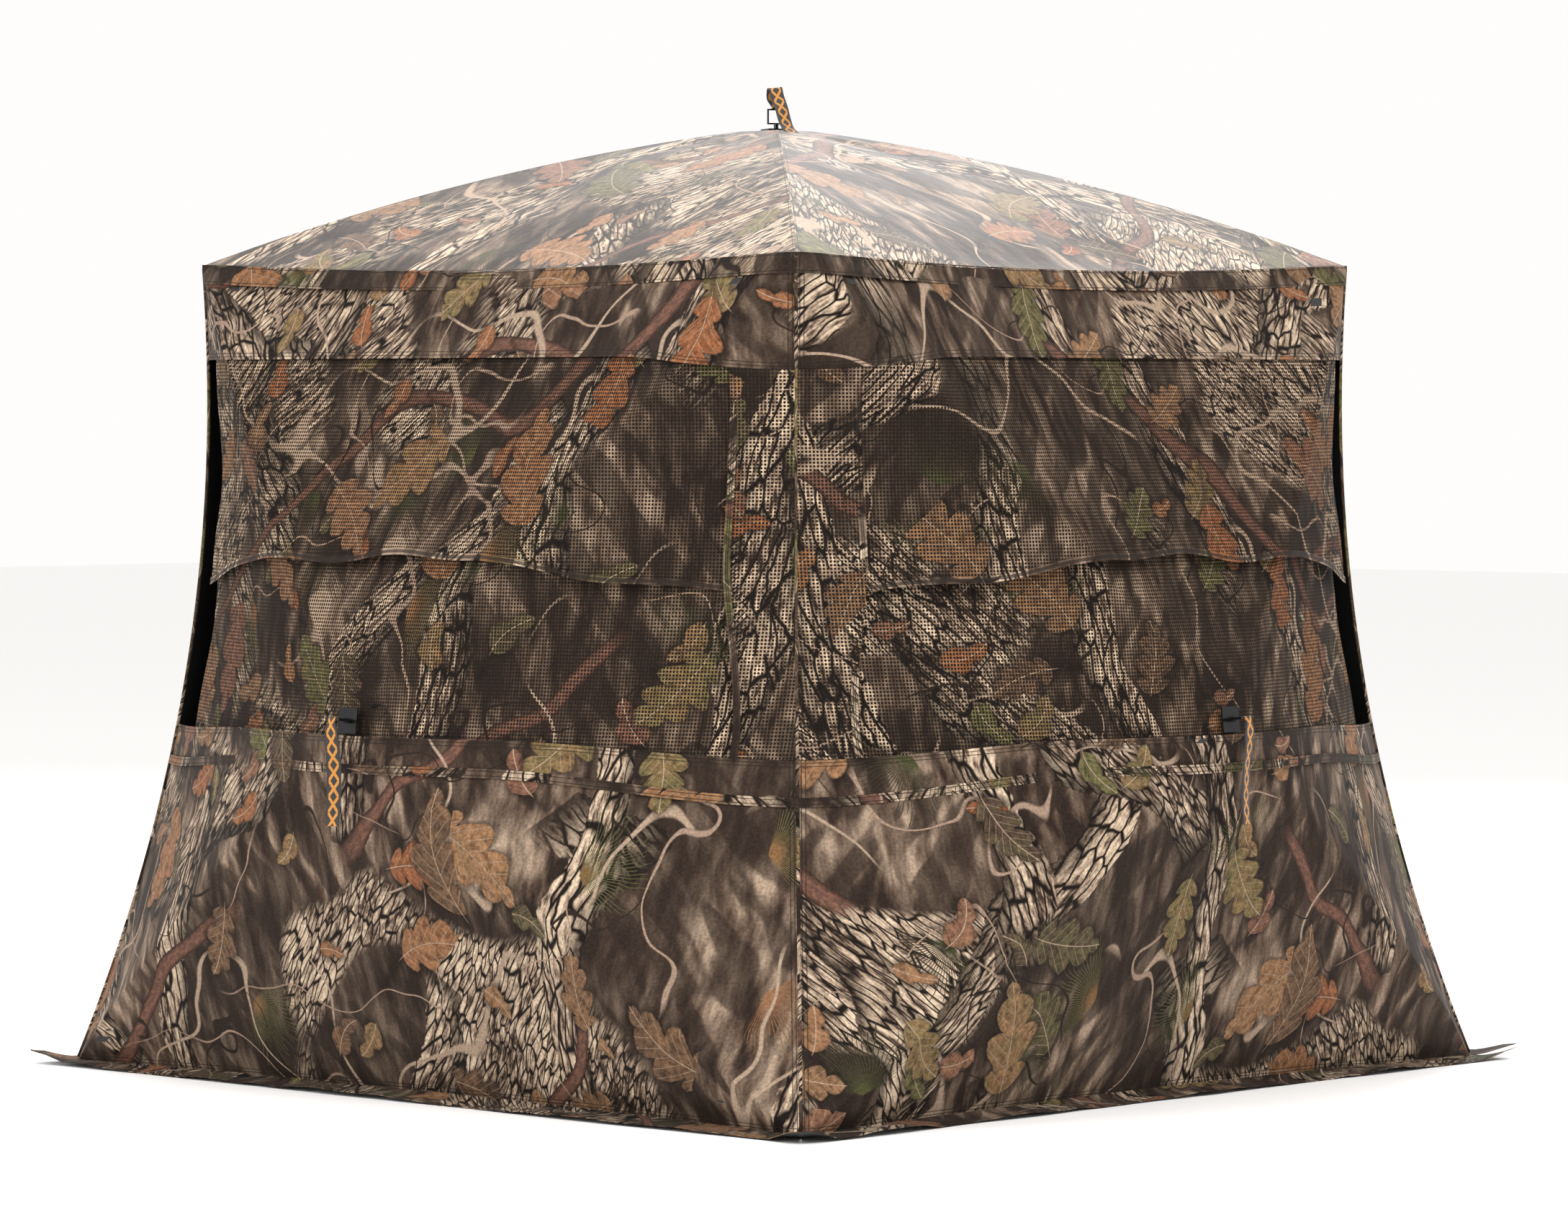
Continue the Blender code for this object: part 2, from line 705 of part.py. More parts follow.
def roof_grid():
    """Rings of points from the eave to the middle of the roof, over the four sectors between its poles."""
    corner = corner_x(EAVE_HEIGHT)
    rings = []
    for share in spread(0, 1 - HUB_FLAT, ROOF_RINGS) + [1 - HUB_FLAT / 2]:
        ring = []
        for k in range(4):
            for column in range(ROOF_COLUMNS):
                place = column / ROOF_COLUMNS
                x = -corner + 2 * corner * place
                edge = Vector((x, -wall_reach(x, eave_z(x)), eave_z(x)))
                chord = Vector((x, -corner, EAVE_HEIGHT))
                inner = Vector((x * (1 - share), -corner * (1 - share), EAVE_HEIGHT))
                inner.z += pole_rise(share, ROOF_RISE)
                ring.append(turned(k) @ (inner + (edge - chord) * (1 - share) ** 2))
        rings.append(ring + ring[:1])
    return rings + [[Vector((0, 0, PEAK))] * len(rings[0])]


def make_roof():
    roof = sheet("roof_canopy", roof_grid(), CAMO_CLOTH, extra="roof")
    cut_for_bolt(roof, ROOF_FRAME, ROOF_RISE)


def make_window_wall(quarter, mirrored):
    """A wall with mesh windows: upper band, upper and lower mesh, and lower wall. The open slit is at the
    corner away from the mesh post."""
    side = WALLS[quarter]
    slit, post = SLIT_WIDTH, POST_WIDTH - POST_TUCK
    gaps = (post, slit) if mirrored else (slit, post)
    top = lambda x: eave_z(x) - CORNER_GAP
    hem = lambda x: FLAP_HEM
    lower_mesh_top = lambda x: FLAP_HEM + MESH_OVERLAP
    mesh_top = lambda x: band_foot_z(x) - SEAM_GAP
    mesh_foot = lambda x: lower_top_z(x) + SEAM_GAP
    corner = (CORNER_GAP, CORNER_GAP)
    band = wall_panel(band_foot_z, top, spread(0, 1, 2), *corner)
    sheet(f"{side}_upper_band", band, CAMO_CLOTH, quarter)
    overlap = MESH_OVERLAP / (mesh_top(0) - FLAP_HEM)
    rows = [0] + spread(overlap, 1, 2)
    upper = wall_panel(hem, mesh_top, rows, *gaps, depth=LAYER_STEP)
    sheet(f"{side}_upper_mesh", upper, CAMO_MESH, quarter)
    overlap = MESH_OVERLAP / (lower_mesh_top(0) - mesh_foot(0))
    rows = spread(0, 1 - overlap, 3) + [1]
    lower = wall_panel(mesh_foot, lower_mesh_top, rows, *gaps, depth=2 * LAYER_STEP)
    mesh = sheet(f"{side}_lower_mesh", lower, CAMO_MESH, quarter)
    cut_for_bolt(mesh, wall_frame(quarter), WALL_BULGE)
    foot = wall_panel(hem_z, lower_top_z, spread(0, 1, 5), *corner)
    wall = sheet(f"{side}_lower_wall", foot, CAMO_CLOTH, quarter)
    cut_for_bolt(wall, wall_frame(quarter), WALL_BULGE)


def solid_wall_rows():
    """Heights of a full wall's rows as shares, with one row at the hub."""
    hub = (HUB_Z - hem_z(0)) / (eave_z(0) - CORNER_GAP - hem_z(0))
    return spread(0, hub - 0.03, 4) + spread(hub + 0.03, 1, 5)


def make_solid_wall(quarter):
    grid = wall_panel(hem_z, lambda x: eave_z(x) - CORNER_GAP, solid_wall_rows(), CORNER_GAP, CORNER_GAP)
    wall = sheet(f"{WALLS[quarter]}_wall", grid, CAMO_CLOTH, quarter)
    cut_for_bolt(wall, wall_frame(quarter), WALL_BULGE)
    return wall


def meeting(first, second):
    """Where two lines meet, each given by two points."""
    (p, q), (r, t) = first, second
    way, other = q - p, t - r
    share = (r - p).cross(other) / way.cross(other)
    return p + way * share


def inside(line, gap, towards):
    """A line moved over by gap, to the side on which a point lies."""
    start, end = line
    way = (end - start).normalized()
    normal = Vector((-way.y, way.x))
    if normal.dot(towards - start) < 0:
        normal = -normal
    return start + normal * gap, end + normal * gap


def door_outline(shrink):
    """The door's four corners on the wall, as (across, up), smaller all round by shrink."""
    hub = Vector((0, HUB_Z))
    low, high = Vector((BASE_HALF, 0)), Vector((EAVE_HALF, EAVE_HEIGHT))
    middle = (hub + low + high) / 3
    lower = inside((hub, low), DOOR_POLE_GAP + shrink, middle)
    upper = inside((hub, high), DOOR_POLE_GAP + shrink, middle)
    hinge = inside((low, high), DOOR_HINGE_INSET + shrink, middle)
    point = inside((hub, Vector((0, EAVE_HEIGHT))), DOOR_POINT + shrink, middle)
    return [meeting(upper, point), meeting(lower, point), meeting(lower, hinge), meeting(upper, hinge)]


def door_prism(name, shrink, quarter):
    """A cutter with the door's outline, through the wall."""
    points = [(p.x, p.y) for p in door_outline(shrink)]
    stand = Matrix.Rotation(math.pi / 2, 4, "X")
    place = turned(quarter) @ Matrix.Translation((0, -HUB_REACH, 0)) @ stand
    prism = object_of(name, mesh_of(flat_outline([points], HUB_REACH / 2, place)))
    hide_cutter(prism, name)
    return prism


def make_door(wall, quarter):
    """Cuts the doorway out of a solid wall, and makes the flap that closes it from the same wall."""
    mesh = wall.data.copy()
    door = keep(object_of("door_panel", mesh), CAMO_CLOTH)
    door.rotation_euler.z = wall.rotation_euler.z
    thick = door.modifiers.new("thickness", "SOLIDIFY")
    thick.thickness = CLOTH
    thick.offset = -1.0
    for obj, shrink, operation in ((wall, 0.0, "DIFFERENCE"), (door, DOOR_GAP, "INTERSECT")):
        obj.modifiers.new("flat_faces", "TRIANGULATE")
        cut = obj.modifiers.new("doorway", "BOOLEAN")
        cut.operation = operation
        cut.solver = "MANIFOLD"
        cut.object = door_prism(f"doorway_cutter_{operation.lower()}", shrink, quarter)


def make_post():
    """The mesh post that covers the corner between the two window walls."""
    foot = lower_top_z(corner_x(LOWER_TOP) - POST_WIDTH) + SEAM_GAP
    low = lambda x: foot
    high = lambda x: band_foot_z(x) - SEAM_GAP
    rows = spread(0, 1, 4)
    first = side_panel(low, high, rows, 2, 1, POST_WIDTH, 0.0)
    second = side_panel(low, high, rows, 2, -1, 0.0, POST_WIDTH)
    grid = [a + [turned(1) @ p for p in b][1:] for a, b in zip(first, second)]
    sheet("corner_mesh_post", grid, CAMO_MESH)


def make_skirt(quarter):
    """A strip of cloth from the foot of a wall down to the ground, with mitred ends."""
    columns = 10
    steps = [(0.0, 1.0), (0.5, 0.32), (1 - SKIRT_LAP / SKIRT_REACH, 0.0), (1.0, 0.0)]
    grid = []
    for out_share, up_share in steps:
        out = SKIRT_REACH * out_share
        row = []
        for column in range(columns + 1):
            side = -1 + 2 * column / columns
            half = corner_x(HEM_FOOT) + out - CORNER_GAP
            x = side * half
            inner_x = side * corner_x(HEM_FOOT)
            z = CLOTH + (hem_z(inner_x) - HEM_FOOT) * up_share
            reach = wall_reach(inner_x, hem_z(inner_x)) + out
            row.append(Vector((x, -reach, z)))
        grid.append(row)
    sheet(f"{WALLS[quarter]}_skirt", grid, CAMO_CLOTH, quarter, extra="roof")


def make_cover():
    make_roof()
    make_window_wall(0, mirrored=False)
    make_window_wall(1, mirrored=True)
    make_post()
    make_door(make_solid_wall(2), 2)
    make_solid_wall(3)
    for quarter in range(4):
        make_skirt(quarter)


make_frame()
make_cover()
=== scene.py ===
"""Looks of the pop-up hub ground blind: camouflage cloth, mesh windows, webbing, hardware, camera and light.

Metres, in the row frame: +Z up, origin on the ground at the middle of the footprint. The front wall faces -Y.
Each wall is shaped as the front wall, then mirrored or turned into its place.
"""

import math

import bmesh
import bpy
import numpy as np
from mathutils import Matrix, Vector


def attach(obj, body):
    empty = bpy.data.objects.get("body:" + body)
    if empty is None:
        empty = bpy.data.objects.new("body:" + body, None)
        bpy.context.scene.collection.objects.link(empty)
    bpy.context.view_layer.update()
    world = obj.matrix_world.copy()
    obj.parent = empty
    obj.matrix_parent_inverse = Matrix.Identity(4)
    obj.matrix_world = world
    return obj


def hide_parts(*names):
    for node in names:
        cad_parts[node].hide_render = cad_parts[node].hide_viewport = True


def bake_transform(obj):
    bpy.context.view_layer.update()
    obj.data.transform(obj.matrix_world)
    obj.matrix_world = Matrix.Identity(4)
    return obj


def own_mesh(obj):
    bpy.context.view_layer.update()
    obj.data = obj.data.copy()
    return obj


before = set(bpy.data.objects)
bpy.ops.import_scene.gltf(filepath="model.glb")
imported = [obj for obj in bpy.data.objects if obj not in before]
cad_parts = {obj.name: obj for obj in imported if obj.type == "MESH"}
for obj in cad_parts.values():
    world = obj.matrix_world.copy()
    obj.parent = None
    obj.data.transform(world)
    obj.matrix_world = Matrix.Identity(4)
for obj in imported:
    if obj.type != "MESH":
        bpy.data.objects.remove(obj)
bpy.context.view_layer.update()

# ---- the cover's shape, as the CAD model has it ----
BASE_HALF = 0.92
EAVE_HALF = 0.75
EAVE_HEIGHT = 1.48
ROOF_RISE = 0.25
HUB_REACH = 1.085
POLE_BOW = 0.03
HUB_FLAT = 0.06
SIDE_DIP = 0.108
EAVE_DIP = 0.02
EAVE_SAG = 0.022
HEM_FOOT = 0.006
HEM_LIFT = 0.010
LEAN = (BASE_HALF - EAVE_HALF) / EAVE_HEIGHT
TILT = math.atan(LEAN)
SLANT = EAVE_HEIGHT / math.cos(TILT)
CENTRE_UP_SLOPE = (EAVE_HALF**2 - BASE_HALF**2 + SLANT**2) / (2 * SLANT)
CENTRE_Z = CENTRE_UP_SLOPE * math.cos(TILT)
CENTRE_REACH = BASE_HALF - LEAN * CENTRE_Z
WALL_BULGE = (HUB_REACH - CENTRE_REACH) / math.cos(TILT)
HUB_Z = CENTRE_Z + WALL_BULGE * math.sin(TILT)
WALL_RISE = HUB_REACH - (BASE_HALF - LEAN * HUB_Z)

# ---- what the cloth shows ----
CLOTH = 0.0012
EAVE_STRIP = 0.034        # hem of the roof that hangs over the upper band
TRIM_HEIGHT = 0.016       # welt round the lower wall
SKIRT_REACH = 0.055
SKIRT_FLOOR = 0.0016
LAYER = 0.006
TOP_TUCK = 0.002          # how far below the eave's line a wall's cloth ends
HUB_MARGIN = 0.02         # a panel is split at its hub's height if it passes it by more than this
LEAST_RIDGE = 0.004       # half the width of the narrowest middle sector
NORMAL_STEP = 0.005
NO_WIDTH = 1e-5

ROWS_PER_METRE = 55
SIDE_COLUMNS = 16
MIDDLE_COLUMNS = 30

COVER = "cover"
WALLS = ("front", "right", "back", "left")


# ---------------------------------------------------------------- noise in plain arithmetic


def hashed(i, j, seed):
    value = np.sin(i * 127.1 + j * 311.7 + seed * 74.7) * 43758.5453
    return value - np.floor(value)


def value_noise(x, y, seed):
    """Smooth noise from 0 to 1, one bump to a unit."""
    i, j = np.floor(x), np.floor(y)
    u, v = x - i, y - j
    u, v = u * u * (3 - 2 * u), v * v * (3 - 2 * v)
    low = hashed(i, j, seed) * (1 - u) + hashed(i + 1, j, seed) * u
    high = hashed(i, j + 1, seed) * (1 - u) + hashed(i + 1, j + 1, seed) * u
    return low * (1 - v) + high * v


def smooth_step(value, start, end):
    t = np.clip((value - start) / (end - start), 0, 1)
    return t * t * (3 - 2 * t)


# ---------------------------------------------------------------- the surface of a wall


def shares(x, z):
    """How far along the way from each edge's chord to the hub a point is, 0 to 1: (side, eave, hem)."""
    up = z - HUB_Z
    side = 1 - (np.abs(x) + LEAN * up) / (BASE_HALF - LEAN * HUB_Z)
    return side, 1 - up / (EAVE_HEIGHT - HUB_Z), 1 + up / HUB_Z


def pole_rise(share, rise):
    near = np.clip(np.maximum(share, 0) / (1 - HUB_FLAT), 0, 1)
    return rise * near + POLE_BOW * 4 * near * (1 - near)


def corner_folds(x, z, seed):
    """Tension folds that fan out of a wall's lower and upper corners."""
    total = np.zeros_like(x)
    for side in (-1, 1):
        for x0, z0, height, reach in ((BASE_HALF, 0.0, 0.0050, 0.30), (EAVE_HALF, EAVE_HEIGHT, 0.0035, 0.22)):
            dx, dz = x0 - side * x, z - z0 if z0 == 0 else z0 - z
            r = np.hypot(dx, dz) + 1e-6
            angle = np.arctan2(dz, dx)
            wave = np.sin(angle * 17 + 3 * value_noise(r * 6, angle * 2, seed + side) + seed)
            turned_away = np.cos(np.clip(angle, 0, 1.57)) ** 0.5
            fade = smooth_step(r, 0.015, 0.09) * np.exp(-((r / reach) ** 2)) * turned_away
            total += height * wave * np.nan_to_num(fade)
    return total


def creases(x, z, seed):
    """Slack in the cloth: broad soft waves, and finer ones near the eave."""
    broad = (value_noise(x * 3.1 + 7, z * 2.2, seed) - 0.5) * 0.010
    fine = (value_noise(x * 9 + z * 5, z * 8, seed + 3) - 0.5) * 0.0030
    eave = smooth_step(z, EAVE_HEIGHT - 0.28, EAVE_HEIGHT - 0.05)
    ripple = (value_noise(x * 26, z * 7 + x * 9, seed + 5) - 0.5) * 0.0030 * eave
    return broad + fine + ripple


def wall_reach(x, z, seed=0):
    """How far out the front wall's outside is, at arrays of places across and up it."""
    side, eave, hem = shares(x, z)
    share = np.minimum(np.minimum(side, eave), np.minimum(hem, 1 - 1e-6))
    out = 1 - share
    is_side = side <= np.minimum(eave, hem)
    is_eave = ~is_side & (eave <= hem)
    along_side = np.clip((HUB_Z + (z - HUB_Z) / out) / EAVE_HEIGHT, 0, 1)
    along_eave = np.clip((x / out / EAVE_HALF + 1) / 2, 0, 1)
    place = np.where(is_side, along_side, along_eave)
    dip = np.where(is_side, SIDE_DIP, np.where(is_eave, EAVE_DIP, 0))
    pulled = dip * 4 * place * (1 - place) * (1 - np.clip(share, 0, 1)) ** 2
    reach = BASE_HALF - LEAN * z + pole_rise(share, WALL_RISE) - pulled
    if seed:
        held = smooth_step(side, 0.02, 0.16) * smooth_step(hem, 0.0, 0.06) * smooth_step(eave, 0.0, 0.05)
        near_hub = 1 - smooth_step(share, 0.86, 0.95)
        reach = reach + (creases(x, z, seed) + corner_folds(x, z, seed)) * held * near_hub
    return reach


def corner_x(z):
    x = BASE_HALF - LEAN * z
    for _ in range(40):
        x = (x + wall_reach(x, z)) / 2
    return x


def ridge_x(z):
    up = z - HUB_Z
    line = np.where(up > 0, EAVE_HALF * up / (EAVE_HEIGHT - HUB_Z), -BASE_HALF * up / HUB_Z)
    return np.maximum(line, LEAST_RIDGE)


def wall_normal(x, z, seed):
    step = NORMAL_STEP
    change_across = wall_reach(x + step, z, seed) - wall_reach(x - step, z, seed)
    change_up = wall_reach(x, z + step, seed) - wall_reach(x, z - step, seed)
    across = np.stack([np.full_like(x, 2 * step), -change_across, 0 * x], -1)
    up = np.stack([0 * x, -change_up, 0 * x + 2 * step], -1)
    normal = np.cross(across, up)
    return normal / np.linalg.norm(normal, axis=-1, keepdims=True)


def eave_z(x):
    return EAVE_HEIGHT - EAVE_SAG * (1 - np.minimum(np.abs(x) / EAVE_HALF, 1) ** 2)


def hem_z(x):
    return HEM_FOOT + HEM_LIFT * (1 - np.minimum(np.abs(x) / BASE_HALF, 1) ** 2)


def wall_top_z(x):
    return eave_z(x) - TOP_TUCK


def strip_foot_z(x):
    return eave_z(x) - EAVE_STRIP


def strip_top_z(x):
    return eave_z(x) + 0.001


def level(height):
    return lambda x: 0 * x + height


# The window walls' lines, with the mesh post at +x and the slit at -x.


def band_foot_z(x):
    return 1.305 - 0.024 * smooth_step(x, 0.42, 0.75)


def flap_hem_z(x):
    """Free hem of the upper mesh: it hangs in soft waves and droops at both ends."""
    line = 0.953 + 0.006 * np.sin(x * 11 + 0.4) + 0.004 * np.sin(x * 23 + 1.0)
    return line - 0.050 * smooth_step(x, 0.24, 0.68) - 0.052 * smooth_step(-x, 0.30, 0.62)


def lower_top_z(x):
    return 0.647 - 0.026 * smooth_step(x, 0.30, 0.80) - 0.016 * smooth_step(-x, 0.30, 0.75)


def trim_top_z(x):
    return 0.598 - 0.040 * smooth_step(x, 0.28, 0.80) - 0.024 * smooth_step(-x, 0.30, 0.75)


# ---------------------------------------------------------------- meshes


def wall_layer(x, z, seed, depth):
    """Points of a layer at a depth behind the front wall's surface, and the surface's normals there."""
    normals = wall_normal(x, z, seed)
    surface = np.stack([x, -wall_reach(x, z, seed), z], -1)
    return surface - normals * np.asarray(depth)[..., None], normals


def print_place(x, z, seed):
    """Where the print lies on a wall's cloth, in metres, moved by the seed."""
    return np.stack([x + 1.7 * seed, z + 0.9 * seed], -1)


def quarter_turn(wall):
    return Matrix.Rotation(WALLS.index(wall) * math.pi / 2, 4, "Z")


def placement(wall):
    """The matrix that takes the front wall's place to a wall's. The right wall is the front one mirrored."""
    turn = quarter_turn(wall)
    return turn @ Matrix.Scale(-1, 4, (1, 0, 0)) if wall == "right" else turn


def linked(name, data):
    """A new object in the scene."""
    obj = bpy.data.objects.new(name, data)
    bpy.context.scene.collection.objects.link(obj)
    return obj


def add_mesh(name, points, faces, normals, uvs, surfaces, matrix, thickness=CLOTH):
    """A cloth piece from one layer of points: an outside, an inside a thickness behind it, and a rim."""
    count = len(points)
    inner = points - normals * thickness
    edges = {}
    for face in faces:
        for a, b in zip(face, face[1:] + face[:1]):
            edges[a, b] = edges.get((a, b), 0) + 1
    rim = [(b, a, a + count, b + count) for a, b in edges if (b, a) not in edges]
    flipped = matrix.determinant() < 0
    outside = [tuple(f) for f in faces]
    inside = [tuple(v + count for v in reversed(f)) for f in faces]
    every = outside + inside + rim
    if flipped:
        every = [tuple(reversed(f)) for f in every]
    mesh = bpy.data.meshes.new(name)
    rotation = np.array(matrix.to_3x3())
    shift = np.array(matrix.translation)
    both = np.concatenate([points, inner]) @ rotation.T + shift
    mesh.from_pydata(both.tolist(), [], every)
    turned = normals @ rotation.T
    turned = np.concatenate([turned, -turned])
    for surface in surfaces:
        mesh.materials.append(surface)
    kinds = [0] * len(outside) + [1] * len(inside) + [0] * len(rim)
    mesh.polygons.foreach_set("material_index", kinds)
    loops = np.empty(len(mesh.loops), int)
    mesh.loops.foreach_get("vertex_index", loops)
    for layer_name, values in uvs.items():
        layer = mesh.uv_layers.new(name=layer_name)
        layer.data.foreach_set("uv", np.concatenate([values, values])[loops].astype(np.float32).ravel())
    mesh.polygons.foreach_set("use_smooth", [True] * len(every))
    custom = turned[loops]
    for polygon in list(mesh.polygons)[len(outside) + len(inside):]:
        custom[list(polygon.loop_indices)] = polygon.normal
    mesh.normals_split_custom_set([tuple(n) for n in custom])
    return linked(name, mesh)


def grid_faces(rows, columns, widths):
    """Quads of a grid, without those whose row has no width at both ends."""
    faces = []
    for r in range(rows - 1):
        if max(widths[r], widths[r + 1]) < NO_WIDTH:
            continue
        for c in range(columns - 1):
            a = r * columns + c
            low, high = widths[r] > NO_WIDTH, widths[r + 1] > NO_WIDTH
            if low and high:
                faces.append([a, a + 1, a + 1 + columns, a + columns])
            elif low:
                faces.append([a, a + 1, a + columns])
            else:
                faces.append([a, a + 1 + columns, a + columns])
    return faces


def compact(points, faces, normals, uvs):
    """Drops the points that no face uses."""
    used = sorted({v for f in faces for v in f})
    place = {v: i for i, v in enumerate(used)}
    faces = [[place[v] for v in f] for f in faces]
    return points[used], faces, normals[used], {k: v[used] for k, v in uvs.items()}


LEAST_SIDE = 0.012
TURN_STEP = 3             # degrees


def declare(obj, strip=None):
    """Works out the size of a cloth piece from the finished piece, which isn't a cutting size, and returns
    nothing.

    The area is that of its outside and rim. For a strip it stops there. Otherwise width and length are those
    of the smallest rectangle round its print, and the length grows until the rectangle holds the area. The
    area is at least LEAST_FILL of it.
    """
    shown = [p for p in obj.data.polygons if p.material_index == 0]
    area = sum(p.area for p in shown)
    if strip:
        return
    layer = obj.data.uv_layers["print"].data
    points = np.array([layer[i].uv for p in shown for i in p.loop_indices])
    sizes = []
    for degrees in range(0, 90, TURN_STEP):
        t = math.radians(degrees)
        turn = np.array([[math.cos(t), -math.sin(t)], [math.sin(t), math.cos(t)]])
        sizes.append(np.ptp(points @ turn, axis=0))
    width, length = (max(float(size), LEAST_SIDE) for size in min(sizes, key=lambda size: size.prod()))
    length *= max(area / (width * length), 1.0)


def bend(obj):
    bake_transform(obj)


def wall_grids(low, high, rows, left, right):
    """Columns of a wall panel in its three parts. left and right give the panel's sides at heights."""
    share = np.linspace(0, 1, rows)[:, None]

    def height(x):
        return low(x) + (high(x) - low(x)) * share

    def settle(rule, start):
        x = start
        for _ in range(8):
            x = rule(height(x))
        return x

    zero = np.zeros((rows, 1))
    x_left, x_right = settle(left, zero - 0.7), settle(right, zero + 0.7)
    ridge_left = np.clip(settle(lambda z: -ridge_x(z), zero - 0.3), x_left, x_right)
    ridge_right = np.clip(settle(ridge_x, zero + 0.3), x_left, x_right)
    parts = {}
    for name, a, b, columns in (
        ("left", x_left, ridge_left, SIDE_COLUMNS),
        ("middle", ridge_left, ridge_right, MIDDLE_COLUMNS),
        ("right", ridge_right, x_right, SIDE_COLUMNS),
    ):
        x = a + (b - a) * np.linspace(0, 1, columns)[None, :]
        parts[name] = (x, height(x), (b - a)[:, 0])
    return parts


def wall_panel(name, wall, low, high, surfaces, seed, left=None, right=None, depth=0.0, replaces=(), skip=()):
    """A cloth panel between two heights, as pieces that each cover one sector of the wall."""
    left = left or (lambda z: -corner_x(z))
    right = right or corner_x
    zero = np.zeros(1)
    bottom, top = float(low(zero)[0]), float(high(zero)[0])
    stacks = [(low, high, "eave" if bottom >= HUB_Z - HUB_MARGIN else "hem")]
    if bottom < HUB_Z - HUB_MARGIN and top > HUB_Z + HUB_MARGIN:
        split = level(HUB_Z)
        stacks = [(low, split, "hem"), (split, high, "eave")]
    made = []
    for a, b, middle in stacks:
        rows = max(4, round((float(b(zero)[0]) - float(a(zero)[0])) * ROWS_PER_METRE))
        for part, (x, z, widths) in wall_grids(a, b, rows, left, right).items():
            if widths.max() < 1e-4 or part in skip:
                continue
            points, normals = wall_layer(x, z, seed, depth if np.isscalar(depth) else depth(x, z))
            across, up = edge_distances_of(x, z, left, right, low, high)
            uvs = {
                "print": print_place(x, z, seed).reshape(-1, 2),
                "edge": np.stack([across, up], -1).reshape(-1, 2),
            }
            faces = grid_faces(*x.shape, widths)
            data = compact(points.reshape(-1, 3), faces, normals.reshape(-1, 3), uvs)
            piece_name = f"{name}_{part}" if len(stacks) == 1 else f"{name}_{middle}_{part}"
            obj = add_mesh(piece_name, *data, surfaces, placement(wall))
            bend(obj)
            declare(obj)
            made.append(obj)
    if replaces:
        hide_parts(*replaces)
    return made


def edge_distances_of(x, z, left, right, low, high):
    """Distance of each point to the panel's nearest side, and to its nearest top or bottom."""
    across = np.minimum(x - left(z), right(z) - x)
    up = np.minimum(z - low(x), high(x) - z)
    return np.maximum(across, 0), np.maximum(up, 0)


# ---------------------------------------------------------------- shader building


class Nodes:
    """Short ways to add the nodes of one tree and link them. A value is a socket or a number."""

    def __init__(self, tree):
        self.tree = tree

    def node(self, kind, **settings):
        made = self.tree.nodes.new(kind)
        for key, value in settings.items():
            setattr(made, key, value)
        return made

    def link(self, value, socket):
        if isinstance(value, bpy.types.NodeSocket):
            self.tree.links.new(value, socket)
        else:
            socket.default_value = value

    def math(self, operation, a, b=0.0, c=0.0, clamp=False):
        made = self.node("ShaderNodeMath", operation=operation, use_clamp=clamp)
        for value, socket in zip((a, b, c), made.inputs):
            self.link(value, socket)
        return made.outputs[0]

    def add(self, a, b):
        return self.math("ADD", a, b)

    def sub(self, a, b):
        return self.math("SUBTRACT", a, b)

    def mul(self, a, b):
        return self.math("MULTIPLY", a, b)

    def step(self, value, start, end):
        """0 before start, 1 after end, smooth between. start may be above end."""
        made = self.node("ShaderNodeMapRange", interpolation_type="SMOOTHSTEP")
        for key, number in (("Value", value), ("From Min", start), ("From Max", end)):
            self.link(number, made.inputs[key])
        return made.outputs["Result"]

    def vector(self, x, y, z=0.0):
        made = self.node("ShaderNodeCombineXYZ")
        for value, socket in zip((x, y, z), made.inputs):
            self.link(value, socket)
        return made.outputs[0]

    def parts(self, vector):
        made = self.node("ShaderNodeSeparateXYZ")
        self.link(vector, made.inputs[0])
        return made.outputs[0], made.outputs[1]

    def noise(self, vector, scale, detail=2.0, roughness=0.5, distortion=0.0):
        made = self.node("ShaderNodeTexNoise", noise_dimensions="2D")
        self.link(vector, made.inputs["Vector"])
        settings = {"Scale": scale, "Detail": detail, "Roughness": roughness, "Distortion": distortion}
        for key, value in settings.items():
            made.inputs[key].default_value = value
        return made.outputs["Fac"]

    def cells(self, vector, feature="F1"):
        made = self.node("ShaderNodeTexVoronoi", voronoi_dimensions="2D", feature=feature)
        self.link(vector, made.inputs["Vector"])
        made.inputs["Scale"].default_value = 1.0
        return made

    def mix(self, share, a, b, blend="MIX"):
        made = self.node("ShaderNodeMix", data_type="RGBA", blend_type=blend)
        self.link(share, made.inputs["Factor"])
        for value, key in ((a, 6), (b, 7)):
            if not isinstance(value, bpy.types.NodeSocket):
                value = (*value, 1.0)
            self.link(value, made.inputs[key])
        return made.outputs[2]

    def ramp(self, value, stops):
        made = self.node("ShaderNodeValToRGB")
        ramp = made.color_ramp
        while len(ramp.elements) < len(stops):
            ramp.elements.new(0.5)
        for element, (place, colour) in zip(ramp.elements, stops):
            element.position = place
            element.color = (*colour, 1.0)
        self.link(value, made.inputs[0])
        return made.outputs["Color"]

    def bump(self, height, distance, strength=1.0):
        made = self.node("ShaderNodeBump")
        made.inputs["Distance"].default_value = distance
        made.inputs["Strength"].default_value = strength
        self.link(height, made.inputs["Height"])
        return made.outputs["Normal"]

    def uv(self, name):
        return self.node("ShaderNodeUVMap", uv_map=name).outputs[0]


